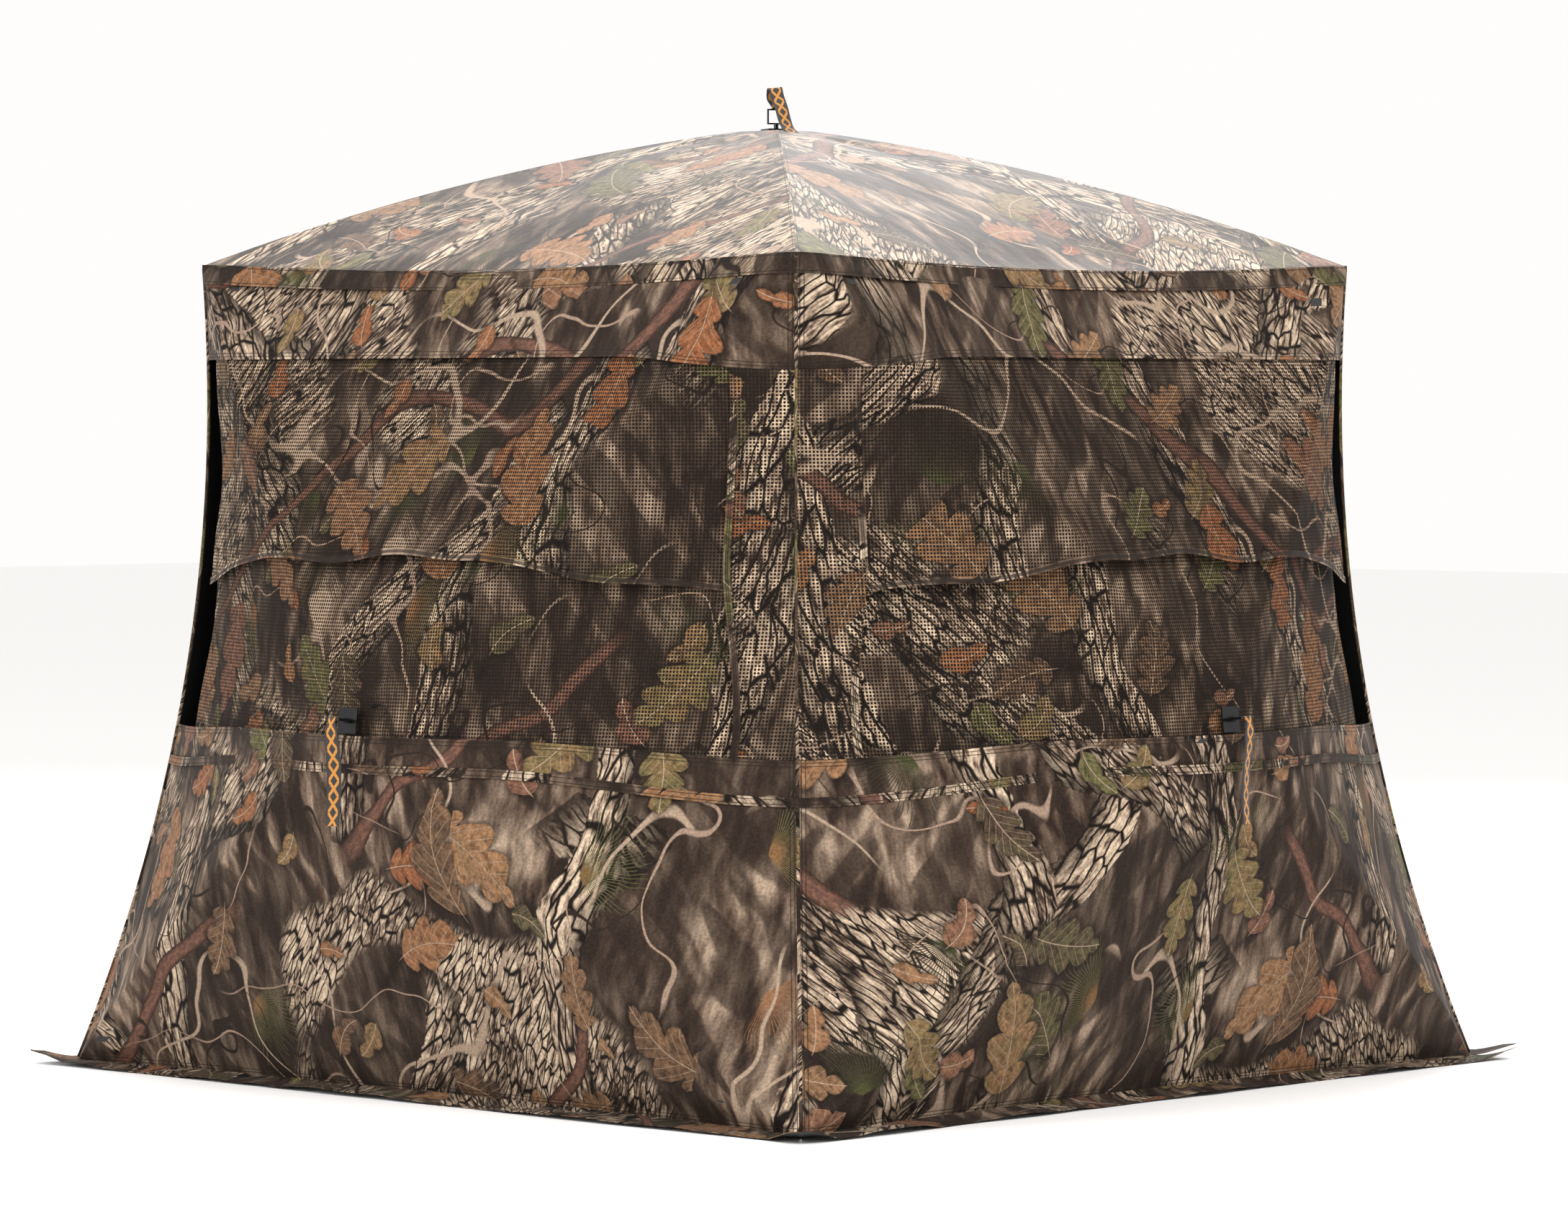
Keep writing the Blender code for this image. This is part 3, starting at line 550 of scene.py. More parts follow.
BLACK_BARK = (0.0085, 0.0055, 0.0042)
DARK_BROWN = (0.02, 0.0125, 0.0092)
MID_BROWN = (0.062, 0.04, 0.028)
GREY_TAN = (0.13, 0.09, 0.064)
PALE_TAN = (0.3, 0.218, 0.155)
CREAM = (0.54, 0.42, 0.3)
PINK_BROWN = (0.15, 0.07, 0.046)
RUST = (0.2, 0.072, 0.03)
LEAF_TAN = (0.23, 0.125, 0.064)
OLIVE = (0.098, 0.092, 0.036)
GREEN = (0.044, 0.05, 0.019)
STITCH = (0.02, 0.015, 0.012)


def rotated(n, x, y, angle):
    """Coordinates across and along a direction that leans from upright by an angle in degrees."""
    c, s = math.cos(math.radians(angle)), math.sin(math.radians(angle))
    across = n.sub(n.mul(x, c), n.mul(y, s))
    along = n.add(n.mul(x, s), n.mul(y, c))
    return across, along


def stems(n, x, y, angle, period, width, seed, wander, gate):
    """Stems that lean one way, one to a period: (mask, place across a stem from -1 to 1, across, along)."""
    across, along = rotated(n, x, y, angle)
    bent = n.noise(n.vector(n.mul(along, 1.6), n.mul(across, 0.9)), 1.0, 2.0)
    lane = n.add(n.math("DIVIDE", across, period), n.add(n.mul(bent, wander), seed))
    cell = n.math("FLOOR", lane)
    off = n.mul(n.sub(n.math("FRACT", lane), 0.5), period)
    own = n.noise(n.vector(n.add(n.mul(along, 1.7), n.mul(cell, 5.3)), n.mul(cell, 3.1)), 1.0, 1.0)
    half = n.mul(n.add(n.mul(own, 1.1), 0.45), width)
    chance = n.noise(n.vector(n.add(n.mul(along, 1.1), n.mul(cell, 7.7)), seed), 1.0, 0.0)
    present = n.step(chance, gate, gate + 0.04)
    place = n.math("DIVIDE", off, half)
    ragged = n.noise(n.vector(x, y), 90.0, 2.0)
    edge = n.add(n.math("ABSOLUTE", place), n.mul(n.sub(ragged, 0.5), 0.25))
    return n.mul(n.step(edge, 1.0, 0.9), present), place, across, along


def bark(n, across, along, fineness):
    """Colour of plated bark: pale ridges along the stem with near-black cracks between them."""
    wobble = n.mul(n.noise(n.vector(n.mul(across, 6.0), n.mul(along, 9.0)), 1.0, 3.0), 1.6)
    grain_across = n.add(n.mul(across, 62.0 * fineness), wobble)
    grain = n.vector(grain_across, n.add(n.mul(along, 13.0 * fineness), wobble))
    cracks = n.cells(grain, "DISTANCE_TO_EDGE").outputs["Distance"]
    shade = n.noise(n.vector(n.mul(across, 120.0), n.mul(along, 26.0)), 1.0, 4.0, 0.65)
    broad = n.noise(n.vector(n.mul(across, 9.0), n.mul(along, 4.0)), 1.0, 2.0)
    plate = n.ramp(n.add(n.mul(shade, 0.75), n.mul(broad, 0.35)), [
        (0.34, BLACK_BARK), (0.46, MID_BROWN), (0.56, PALE_TAN), (0.68, CREAM)])
    return n.mix(n.step(cracks, 0.16, 0.04), plate, BLACK_BARK)


def scattered(n, x, y, per_metre, shift_x, shift_y):
    """Cells round scattered places: (across and up from the place, in cells, and three random numbers)."""
    place = n.vector(n.add(n.mul(x, per_metre), shift_x), n.add(n.mul(y, per_metre), shift_y))
    cell = n.cells(place)
    away = n.node("ShaderNodeVectorMath", operation="SUBTRACT")
    n.link(place, away.inputs[0])
    n.link(cell.outputs["Position"], away.inputs[1])
    chance = n.node("ShaderNodeSeparateColor")
    n.link(cell.outputs["Color"], chance.inputs[0])
    return *n.parts(away.outputs[0]), *chance.outputs


def leaves(n, x, y, per_metre, length, lobes, seed, rarity):
    """Scattered lobed leaves: (mask, soft shadow, colour)."""
    dx, dy, red, green, blue = scattered(n, x, y, per_metre, seed * 13.7, seed * 5.1)
    angle = n.mul(red, math.tau)
    c, s = n.math("COSINE", angle), n.math("SINE", angle)
    u = n.math("DIVIDE", n.sub(n.mul(dx, c), n.mul(dy, s)), per_metre)
    v = n.math("DIVIDE", n.add(n.mul(dx, s), n.mul(dy, c)), per_metre)
    size = n.mul(n.add(n.mul(green, 0.5), 0.7), length)
    curl = n.mul(n.math("POWER", n.math("DIVIDE", u, size), 2.0), n.mul(size, n.sub(blue, 0.5)))
    v = n.add(v, curl)
    side = n.math("ABSOLUTE", v)
    t = n.add(n.math("DIVIDE", u, size), 0.5)
    lean = n.sub(t, n.mul(n.math("DIVIDE", side, size), 0.55))
    held = n.math("MAXIMUM", n.math("MINIMUM", t, 1.0), 0.0)
    inside = n.math("SINE", n.mul(n.math("POWER", held, 0.8), math.pi))
    lobe = n.math("POWER", n.math("ABSOLUTE", n.math("COSINE", n.mul(lean, lobes * math.pi))), 0.6)
    ragged = n.mul(n.sub(n.noise(n.vector(x, y), 60.0, 2.0), 0.5), 0.010)
    half = n.mul(n.mul(n.math("POWER", inside, 0.6), n.add(n.mul(lobe, 0.62), 0.38)), n.mul(size, 0.30))
    stalk = n.mul(n.step(t, -0.12, -0.02), 0.0016)
    half = n.math("MAXIMUM", n.add(half, n.mul(ragged, inside)), stalk)
    here = n.step(blue, rarity, rarity + 0.001)
    mask = n.mul(n.step(n.sub(half, side), -0.0003, 0.0009), here)
    mask = n.mul(mask, n.step(t, 1.02, 1.0))
    shadow = n.mul(n.mul(n.step(n.sub(half, side), -0.018, 0.002), here), n.step(t, 1.15, 0.95))
    tone = n.noise(n.vector(x, y), 26.0, 3.0)
    hue = n.math("FRACT", n.mul(red, 7.3))
    colour = n.ramp(n.add(n.mul(hue, 0.86), n.mul(tone, 0.14)), [
        (0.10, RUST), (0.30, LEAF_TAN), (0.46, MID_BROWN),
        (0.60, OLIVE), (0.74, LEAF_TAN), (0.90, PINK_BROWN)])
    blotch = n.ramp(n.noise(n.vector(x, y), 70.0, 4.0, 0.65), [
        (0.3, (0.45, 0.42, 0.40)), (0.55, (1.0, 1.0, 1.0)), (0.75, (1.35, 1.3, 1.2))])
    colour = n.mix(1.0, colour, blotch, "MULTIPLY")
    rib = n.step(side, 0.0013, 0.0004)
    slant = n.sub(t, n.math("DIVIDE", side, size))
    vein_wave = n.math("ABSOLUTE", n.sub(n.math("FRACT", n.mul(slant, 8.0)), 0.5))
    veins = n.mul(n.step(vein_wave, 0.07, 0.02), 0.45)
    colour = n.mix(n.math("MAXIMUM", rib, veins), colour, PALE_TAN)
    rolled = n.step(n.sub(half, side), 0.0045, 0.0)
    colour = n.mix(n.mul(rolled, 0.55), colour, DARK_BROWN)
    return mask, shadow, colour


def needles(n, x, y, per_metre, length, seed):
    """Fans of pine needles: (mask, colour)."""
    dx, dy, red, green, blue = scattered(n, x, y, per_metre, seed * 3.3, seed * 9.2)
    u, v = n.math("DIVIDE", dx, per_metre), n.math("DIVIDE", dy, per_metre)
    radius = n.math("SQRT", n.add(n.mul(u, u), n.mul(v, v)))
    angle = n.math("ARCTAN2", v, u)
    turned = n.add(angle, n.mul(red, math.tau))
    spread = n.math("ABSOLUTE", n.sub(n.math("FRACT", n.math("DIVIDE", turned, math.tau)), 0.5))
    fan = n.step(spread, 0.22, 0.18)
    comb = n.add(n.mul(turned, 13.0), n.mul(n.noise(n.vector(u, v), 14.0, 1.0), 3.0))
    strand = n.math("ABSOLUTE", n.sub(n.math("FRACT", comb), 0.5))
    thin = n.step(n.mul(strand, radius), 0.0105, 0.0055)
    reach = n.mul(n.add(n.mul(hash_of(n, comb), 0.6), 0.5), length)
    present = n.step(blue, 0.56, 0.561)
    mask = n.mul(n.mul(thin, fan), n.mul(n.step(radius, reach, n.mul(reach, 0.92)), present))
    colour = n.ramp(n.add(n.mul(green, 0.7), n.mul(strand, 0.9)), [
        (0.1, DARK_BROWN), (0.4, GREEN), (0.62, OLIVE), (0.8, RUST), (1.0, LEAF_TAN)])
    return mask, colour


def hash_of(n, value):
    """A number from 0 to 1 for each whole part of a value."""
    whole = n.mul(n.math("SINE", n.mul(n.math("FLOOR", value), 12.9898)), 43.7585)
    return n.math("FRACT", whole)


def camouflage(n, uv):
    """Colour of the woodland print: blurred background, trunks and branches, twigs, needles and leaves."""
    x, y = n.parts(uv)
    wind = n.sub(n.noise(uv, 3.5, 2.0), 0.5)
    x = n.add(x, n.mul(wind, 0.05))
    streaks = n.noise(n.vector(n.mul(x, 34.0), n.mul(y, 9.0)), 1.0, 3.0, 0.55)
    clouds = n.noise(uv, 5.0, 2.0)
    back = n.ramp(n.add(n.mul(streaks, 0.62), n.mul(clouds, 0.38)), [
        (0.38, DARK_BROWN), (0.46, MID_BROWN), (0.54, GREY_TAN), (0.66, PALE_TAN)])
    shade_across, shade_along = rotated(n, x, y, -35)
    dapple = n.noise(n.vector(n.mul(shade_across, 16.0), n.mul(shade_along, 4.5)), 1.0, 2.0)
    colour = n.mix(n.mul(n.step(dapple, 0.47, 0.56), 0.75), back, DARK_BROWN)
    hollow = n.noise(n.vector(n.add(x, 4.0), y), 2.6, 2.0)
    colour = n.mix(n.mul(n.step(hollow, 0.47, 0.58), 0.66), colour, DARK_BROWN)
    rough_bark = n.noise(n.vector(x, y), 1.9, 1.0)
    slab_across, slab_along = rotated(n, x, y, 38)
    slab = bark(n, slab_across, slab_along, 1.5)
    colour = n.mix(n.step(rough_bark, 0.56, 0.60), colour, slab)

    for angle, period, width, seed, wander, gate, fineness in (
        (-47, 0.52, 0.060, 0.37, 0.9, 0.44, 1.0),
        (40, 0.66, 0.052, 0.71, 0.7, 0.46, 1.2),
        (9, 0.47, 0.042, 0.13, 0.5, 0.42, 0.9),
    ):
        mask, place, across, along = stems(n, x, y, angle, period, width, seed, wander, gate)
        shadow = n.step(n.math("ABSOLUTE", n.sub(place, 0.35)), 1.55, 0.9)
        colour = n.mix(n.mul(n.mul(shadow, 0.75), n.step(mask, 0.0, 0.01)), colour, BLACK_BARK)
        trunk = bark(n, across, along, fineness)
        trunk = n.mix(n.mul(n.step(place, 0.1, 1.0), 0.8), trunk, BLACK_BARK)
        colour = n.mix(mask, colour, trunk)

    mask, tint = needles(n, x, y, 3.4, 0.120, 1.0)
    colour = n.mix(mask, colour, tint)
    mask, place, across, along = stems(n, x, y, 56, 0.58, 0.017, 0.4, 0.8, 0.44)
    rind = n.noise(n.vector(n.mul(across, 150.0), n.mul(along, 60.0)), 1.0, 3.0)
    branch = n.mix(n.step(rind, 0.42, 0.62), (0.095, 0.050, 0.036), PINK_BROWN)
    branch = n.mix(n.mul(n.step(n.math("ABSOLUTE", place), 0.35, 1.0), 0.8), branch, BLACK_BARK)
    colour = n.mix(mask, colour, branch)
    for scale, wide, seed, light in ((2.7, 0.0075, 2.0, PALE_TAN), (4.1, 0.0050, 8.0, DARK_BROWN),
                                     (3.3, 0.0045, 15.0, (0.26, 0.18, 0.13))):
        line = n.noise(n.vector(n.add(x, seed), n.add(y, seed)), scale, 1.5, 0.4)
        twig = n.step(n.math("ABSOLUTE", n.sub(line, 0.5)), wide, wide * 0.4)
        there = n.step(n.noise(n.vector(n.add(y, seed), x), 2.3, 0.0), 0.47, 0.52)
        colour = n.mix(n.mul(twig, there), colour, light)
    for per_metre, length, lobes, seed, rarity in (
        (8.0, 0.080, 1.0, 6.0, 0.78), (5.2, 0.165, 3.5, 1.0, 0.64), (4.0, 0.200, 3.0, 3.0, 0.68)):
        mask, shadow, tint = leaves(n, x, y, per_metre, length, lobes, seed, rarity)
        colour = n.mix(n.mul(shadow, 0.62), colour, BLACK_BARK)
        colour = n.mix(mask, colour, tint)
    speckle = n.ramp(n.noise(uv, 210.0, 2.0), [(0.3, (0.78, 0.78, 0.78)), (0.7, (1.2, 1.2, 1.2))])
    return n.mix(1.0, colour, speckle, "MULTIPLY")


def stitch_lines(n, edge, distances):
    """Dark stitched lines at distances from a panel's sides and from its top and bottom."""
    across, up = n.parts(edge)
    total = 0.0
    for distance in distances:
        for value in (across, up):
            line = n.step(n.math("ABSOLUTE", n.sub(value, distance)), 0.0010, 0.0004)
            total = n.math("MAXIMUM", total, line)
    return total


def new_material(name):
    made = bpy.data.materials.new(name)
    made.use_nodes = True
    tree = made.node_tree
    return made, Nodes(tree), tree.nodes["Principled BSDF"]


PRINT_GROUP = bpy.data.node_groups.new("woodland_print", "ShaderNodeTree")
PRINT_GROUP.interface.new_socket("UV", in_out="INPUT", socket_type="NodeSocketVector")
PRINT_GROUP.interface.new_socket("Color", in_out="OUTPUT", socket_type="NodeSocketColor")


def fill_print_group():
    n = Nodes(PRINT_GROUP)
    given = n.node("NodeGroupInput")
    wanted = n.node("NodeGroupOutput")
    n.link(camouflage(n, given.outputs[0]), wanted.inputs[0])


fill_print_group()


def printed(n):
    made = n.node("ShaderNodeGroup", node_tree=PRINT_GROUP)
    n.link(n.uv("print"), made.inputs[0])
    return made.outputs[0]


def weave(n, pitch):
    """Height of a plain weave, as two crossed waves."""
    x, y = n.parts(n.uv("print"))
    turn = math.pi / pitch
    return n.mul(n.math("SINE", n.mul(x, turn)), n.math("SINE", n.mul(y, turn)))


def cloth_material(name, brightness, stitches=(0.005, 0.011), haze=0.06):
    made, n, shader = new_material(name)
    colour = n.mix(1.0, printed(n), (brightness, brightness, brightness), "MULTIPLY")
    lines = stitch_lines(n, n.uv("edge"), stitches)
    colour = n.mix(n.mul(lines, 0.75), colour, STITCH)
    n.link(colour, shader.inputs["Base Color"])
    shader.inputs["Roughness"].default_value = 0.62
    shader.inputs["Specular IOR Level"].default_value = haze
    shader.inputs["Sheen Weight"].default_value = haze * 0.5
    shader.inputs["Sheen Roughness"].default_value = 0.4
    wrinkle = n.noise(n.uv("print"), 55.0, 3.0, 0.6)
    height = n.add(n.mul(wrinkle, 0.0010), n.mul(weave(n, 0.0011), 0.00008))
    height = n.sub(height, n.mul(lines, 0.0010))
    n.link(n.bump(height, 1.0, 0.8), shader.inputs["Normal"])
    return made


def mesh_material(name, brightness):
    """Printed open mesh: rows of holes between printed threads, the holes painted near black: partly the
    black inside of the blind seen through them, partly painted shade.
    """
    made, n, shader = new_material(name)
    x, y = n.parts(n.uv("print"))
    pitch = 0.0054
    turn = math.pi / pitch
    holes = n.mul(n.math("COSINE", n.mul(x, turn)), n.math("COSINE", n.mul(y, turn * 0.87)))
    hole = n.step(n.math("ABSOLUTE", holes), 0.38, 0.62)
    colour = n.mix(1.0, printed(n), (brightness, brightness * 0.97, brightness * 0.92), "MULTIPLY")
    # The holes' near-black colour is partly the black-coated inside seen through them and partly painted
    # shade of the blind's dark inside.
    colour = n.mix(hole, colour, (0.010, 0.008, 0.007))
    lines = stitch_lines(n, n.uv("edge"), (0.006,))
    colour = n.mix(n.mul(lines, 0.6), colour, STITCH)
    n.link(colour, shader.inputs["Base Color"])
    shader.inputs["Roughness"].default_value = 0.70
    shader.inputs["Specular IOR Level"].default_value = 0.06
    wrinkle = n.noise(n.uv("print"), 40.0, 3.0, 0.6)
    height = n.sub(n.mul(wrinkle, 0.0012), n.mul(hole, 0.0009))
    n.link(n.bump(height, 1.0, 0.8), shader.inputs["Normal"])
    return made


def plain_material(name, colour, roughness, metallic=0.0, grain=300.0, depth=0.0003):
    made, n, shader = new_material(name)
    place = n.node("ShaderNodeTexCoord").outputs["Object"]
    texture = n.node("ShaderNodeTexNoise")
    n.link(place, texture.inputs["Vector"])
    texture.inputs["Scale"].default_value = grain
    texture.inputs["Detail"].default_value = 3.0
    mottled = n.mix(texture.outputs["Fac"], tuple(c * 0.75 for c in colour), tuple(c * 1.3 for c in colour))
    n.link(mottled, shader.inputs["Base Color"])
    rough = n.add(n.mul(texture.outputs["Fac"], 0.18), roughness - 0.09)
    n.link(rough, shader.inputs["Roughness"])
    shader.inputs["Metallic"].default_value = metallic
    n.link(n.bump(texture.outputs["Fac"], depth, 0.6), shader.inputs["Normal"])
    return made


def inner_material():
    """The coated black inside of the cloth."""
    made, n, shader = new_material("black_inside")
    tone = n.noise(n.uv("print"), 30.0, 3.0)
    n.link(n.mix(tone, (0.010, 0.010, 0.010), (0.022, 0.021, 0.021)), shader.inputs["Base Color"])
    shader.inputs["Roughness"].default_value = 0.75
    n.link(n.bump(n.mul(weave(n, 0.0012), 0.0001), 1.0, 0.8), shader.inputs["Normal"])
    return made


def webbing_material():
    """Black webbing with a woven orange zigzag between two orange threads."""
    made, n, shader = new_material("strap_webbing")
    x, y = n.parts(n.uv("print"))
    zigzag = n.math("ABSOLUTE", n.sub(n.math("FRACT", n.mul(y, 36.0)), 0.5))
    off = n.math("ABSOLUTE", n.sub(n.math("ABSOLUTE", x), n.mul(zigzag, 0.018)))
    chevron = n.mul(n.step(off, 0.0031, 0.0025), n.step(n.math("ABSOLUTE", x), 0.0092, 0.0088))
    ribs = n.math("SINE", n.mul(y, math.tau / 0.0016))
    cross = n.math("SINE", n.mul(x, math.tau / 0.0022))
    orange = n.mix(n.step(ribs, -0.4, 0.8), (0.34, 0.13, 0.015), (0.72, 0.30, 0.035))
    black = n.mix(n.step(cross, -0.6, 0.8), (0.008, 0.008, 0.008), (0.030, 0.028, 0.027))
    n.link(n.mix(chevron, black, orange), shader.inputs["Base Color"])
    shader.inputs["Roughness"].default_value = 0.7
    shader.inputs["Sheen Weight"].default_value = 0.15
    n.link(n.bump(n.add(n.mul(ribs, 0.00020), n.mul(cross, 0.00012)), 1.0, 0.8), shader.inputs["Normal"])
    return made


def zip_material():
    """Black zip tape, with its coil of teeth along the inner edge."""
    made, n, shader = new_material("zip_tape")
    across, _ = n.parts(n.uv("edge"))
    x, y = n.parts(n.uv("print"))
    tooth = n.math("SINE", n.mul(n.add(x, y), math.tau / 0.0022))
    coil = n.step(across, 0.0045, 0.0040)
    shade = n.mix(n.mul(coil, n.step(tooth, -0.2, 0.6)), (0.014, 0.013, 0.013), (0.075, 0.070, 0.066))
    n.link(shade, shader.inputs["Base Color"])
    shader.inputs["Roughness"].default_value = 0.5
    n.link(n.bump(n.mul(coil, n.add(tooth, 2.0)), 0.0006), shader.inputs["Normal"])
    return made


INSIDE = inner_material()
CLOTH_PRINT = [cloth_material("camo_cloth", 1.0), INSIDE]
TRIM_PRINT = [cloth_material("camo_trim", 0.92, (0.004,)), INSIDE]
# Painted light: the roof's print is multiplied 1.5 times brighter, standing in for the light from above that
# falls on the roof. Its haze is real sheen and specular.
ROOF_PRINT_PAINTED_LIGHTER = [cloth_material("camo_roof", 1.5, (0.006,), haze=0.5), INSIDE]
SKIRT_PRINT = [cloth_material("camo_skirt", 0.80, (0.006,)), INSIDE]
PIPING = TRIM_PRINT[0]
ZIP = zip_material()
MESH_PRINT = [mesh_material("camo_mesh", 0.98), mesh_material("camo_mesh_inside", 0.25)]
RUBBER = plain_material("black_rubber", (0.030, 0.031, 0.030), 0.72, grain=420.0, depth=0.0006)
STEEL = plain_material("blackened_steel", (0.030, 0.030, 0.032), 0.22, 0.85, grain=160.0, depth=0.0001)
PLASTIC = plain_material("black_plastic", (0.018, 0.018, 0.019), 0.48, grain=260.0)
FIBRE = plain_material("glass_fibre", (0.022, 0.022, 0.024), 0.34, grain=90.0, depth=0.0001)
WEBBING = webbing_material()


# ---------------------------------------------------------------- walls


def post_edge(z):
    return 0.650 + 0.042 * smooth_step(-z, -0.98, -0.64)


def slit_edge(z):
    return -0.690 + 0.055 * smooth_step(z, 0.66, 0.84) * smooth_step(-z, -1.28, -1.10)


def near_edge(z):
    """Where a window's mesh ends behind the corner post."""
    return post_edge(z) + 0.030


def flap_depth(x, z):
    """The upper mesh hangs in front of the lower one, and swings out a little towards its free hem."""
    free = smooth_step(1.10 - z, 0.0, 0.15) * smooth_step(-x, -0.64, -0.56)
    return LAYER - free * (0.006 + 0.010 * value_noise(x * 7 + 3, 0 * z, 4))


def window_wall(wall, seed):
    def part(name, *lines, **settings):
        wall_panel(f"{wall}_{name}", wall, *lines, **settings)

    window = {"left": slit_edge, "right": near_edge}
    part("upper_band", band_foot_z, wall_top_z, CLOTH_PRINT, seed, replaces=[f"{wall}_upper_band"])
    part("upper_mesh", flap_hem_z, lambda x: band_foot_z(x) + 0.004, MESH_PRINT, seed + 0.1, depth=flap_depth,
         replaces=[f"{wall}_upper_mesh"], **window)
    part("flap_hem", lambda x: flap_hem_z(x) - 0.003, lambda x: flap_hem_z(x) + 0.009, TRIM_PRINT, seed + 0.1,
         depth=lambda x, z: flap_depth(x, z) - 0.0025, **window)
    part("lower_mesh", lambda x: lower_top_z(x) - 0.003, level(1.03), MESH_PRINT, seed + 0.2, depth=2 * LAYER,
         replaces=[f"{wall}_lower_mesh"], **window)
    part("lower_wall", hem_z, lower_top_z, CLOTH_PRINT, seed + 0.3, replaces=[f"{wall}_lower_wall"])
    part("welt", lambda x: trim_top_z(x) - TRIM_HEIGHT, trim_top_z, TRIM_PRINT, seed + 0.7, depth=-0.0035)
    part("eave_hem", strip_foot_z, strip_top_z, TRIM_PRINT, seed + 0.4, depth=-0.004)
    stands_for = ["corner_mesh_post"] if wall == "front" else []
    part("corner_post_mesh", lower_top_z, band_foot_z, MESH_PRINT, seed + 0.5, depth=-0.003, left=post_edge,
         replaces=stands_for)
    part("post_binding", lower_top_z, band_foot_z, TRIM_PRINT, seed + 0.6, depth=-0.005,
         left=lambda z: post_edge(z) - 0.002, right=lambda z: post_edge(z) + 0.009)


# ---------------------------------------------------------------- solid walls and the door

DOOR = np.array([(0.153, 0.7816), (0.153, 0.608), (0.724, 0.1904), (0.6007, 1.2635)])
DOOR_HINGE = (0.66, 0.72)     # near the middle of the flap's hinged side
DOOR_GAP = 0.003
ZIP_WIDTH = 0.016
FAR = 9.0                     # further from the door's outline than any place on the wall


def outline_lines(outline):
    """Each side of a convex outline as a point on it and its outward normal, across and up."""
    middle = outline.mean(0)
    for a, b in zip(outline, np.roll(outline, -1, 0)):
        way = (b - a) / np.linalg.norm(b - a)
        normal = np.array([way[1], -way[0]])
        yield a, normal if normal @ (a - middle) > 0 else -normal


def outside_distance(x, z, outline):
    """How far outside the outline's nearest line each place is, and less than 0 inside."""
    return np.max([(x - p[0]) * n[0] + (z - p[1]) * n[1] for p, n in outline_lines(outline)], 0)


def flat_grid(parts, cuts):
    """Grids of places as one flat mesh, cut along lines at distances outside the door's outline."""
    edit = bmesh.new()
    for x, z, widths in parts:
        verts = [edit.verts.new((a, b, 0)) for a, b in zip(x.ravel(), z.ravel())]
        for face in grid_faces(*x.shape, widths):
            edit.faces.new([verts[v] for v in face])
    bmesh.ops.remove_doubles(edit, verts=edit.verts, dist=1e-5)
    for gap in cuts:
        for point, normal in outline_lines(DOOR):
            place = point + normal * gap
            everything = edit.verts[:] + edit.edges[:] + edit.faces[:]
            plane = {"plane_co": (*place, 0), "plane_no": (*normal, 0)}
            bmesh.ops.bisect_plane(edit, geom=everything, dist=1e-6, **plane)
    loose = [v for v in edit.verts if not v.link_faces]
    bmesh.ops.delete(edit, geom=loose, context="VERTS")
    edit.verts.index_update()
    points = np.array([v.co[:2] for v in edit.verts])
    faces = [[v.index for v in f.verts] for f in edit.faces]
    edit.free()
    return points[:, 0], points[:, 1], faces


def side_parts(side):
    """The grids of a solid wall's side sector, below and above its hub."""
    found = []
    for low, high in ((hem_z, level(HUB_Z)), (level(HUB_Z), wall_top_z)):
        rows = round((float(high(np.zeros(1))[0]) - float(low(np.zeros(1))[0])) * ROWS_PER_METRE)
        found.append(wall_grids(low, high, rows, lambda z: -corner_x(z), corner_x)[side])
    return found


def patch_piece(name, wall, x, z, faces, seed, depth, surfaces, edge, strip=None):
    points, normals = wall_layer(x, z, seed, depth + 0 * x)
    uvs = {"print": print_place(x, z, seed), "edge": np.stack([edge, 0 * edge + 1], -1)}
    obj = add_mesh(name, *compact(points, faces, normals, uvs), surfaces, placement(wall))
    declare(obj, strip=strip)
    return obj


def make_doorway(wall, seed):
    """The wall's side sector with a doorway, the zip round it, and the flap that closes it."""
    x, z, faces = flat_grid(side_parts("right"), (0, DOOR_GAP, DOOR_GAP + ZIP_WIDTH))
    centres = np.array([(x[f].mean(), z[f].mean()) for f in faces])
    away = outside_distance(*centres.T, DOOR)
    edge = outside_distance(x, z, DOOR)

    def chosen(low, high):
        return [f for f, d in zip(faces, away) if low < d < high]

    seam = np.minimum(np.abs(edge - DOOR_GAP), np.minimum(corner_x(z) - x, eave_z(x) - z))
    side = patch_piece(f"{wall}_wall_right", wall, x, z, chosen(DOOR_GAP, FAR), seed, 0.0, CLOTH_PRINT, seam)
    bend(side)
    tape_faces = chosen(DOOR_GAP, DOOR_GAP + ZIP_WIDTH)
    tape = patch_piece("door_zip", wall, x, z, tape_faces, seed, -0.0022, [ZIP, INSIDE], edge - DOOR_GAP,
                       strip=ZIP_WIDTH)
    bend(tape)
    door = patch_piece("door_flap", wall, x, z, chosen(-FAR, 0), seed + 0.4, 0.0, CLOTH_PRINT, -edge)
    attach(door, "door")
    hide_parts("door_panel")
    reach = float(wall_reach(*(np.array([value]) for value in DOOR_HINGE))[0])
    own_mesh(door)


def solid_wall(wall, seed, doorway=False):
    wall_panel(f"{wall}_wall", wall, hem_z, wall_top_z, CLOTH_PRINT, seed, replaces=[f"{wall}_wall"],
               skip=("right",) if doorway else ())
    wall_panel(f"{wall}_eave_hem", wall, strip_foot_z, strip_top_z, TRIM_PRINT, seed + 0.4, depth=-0.004)
    if doorway:
        make_doorway(wall, seed)


# ---------------------------------------------------------------- roof, skirts and piping


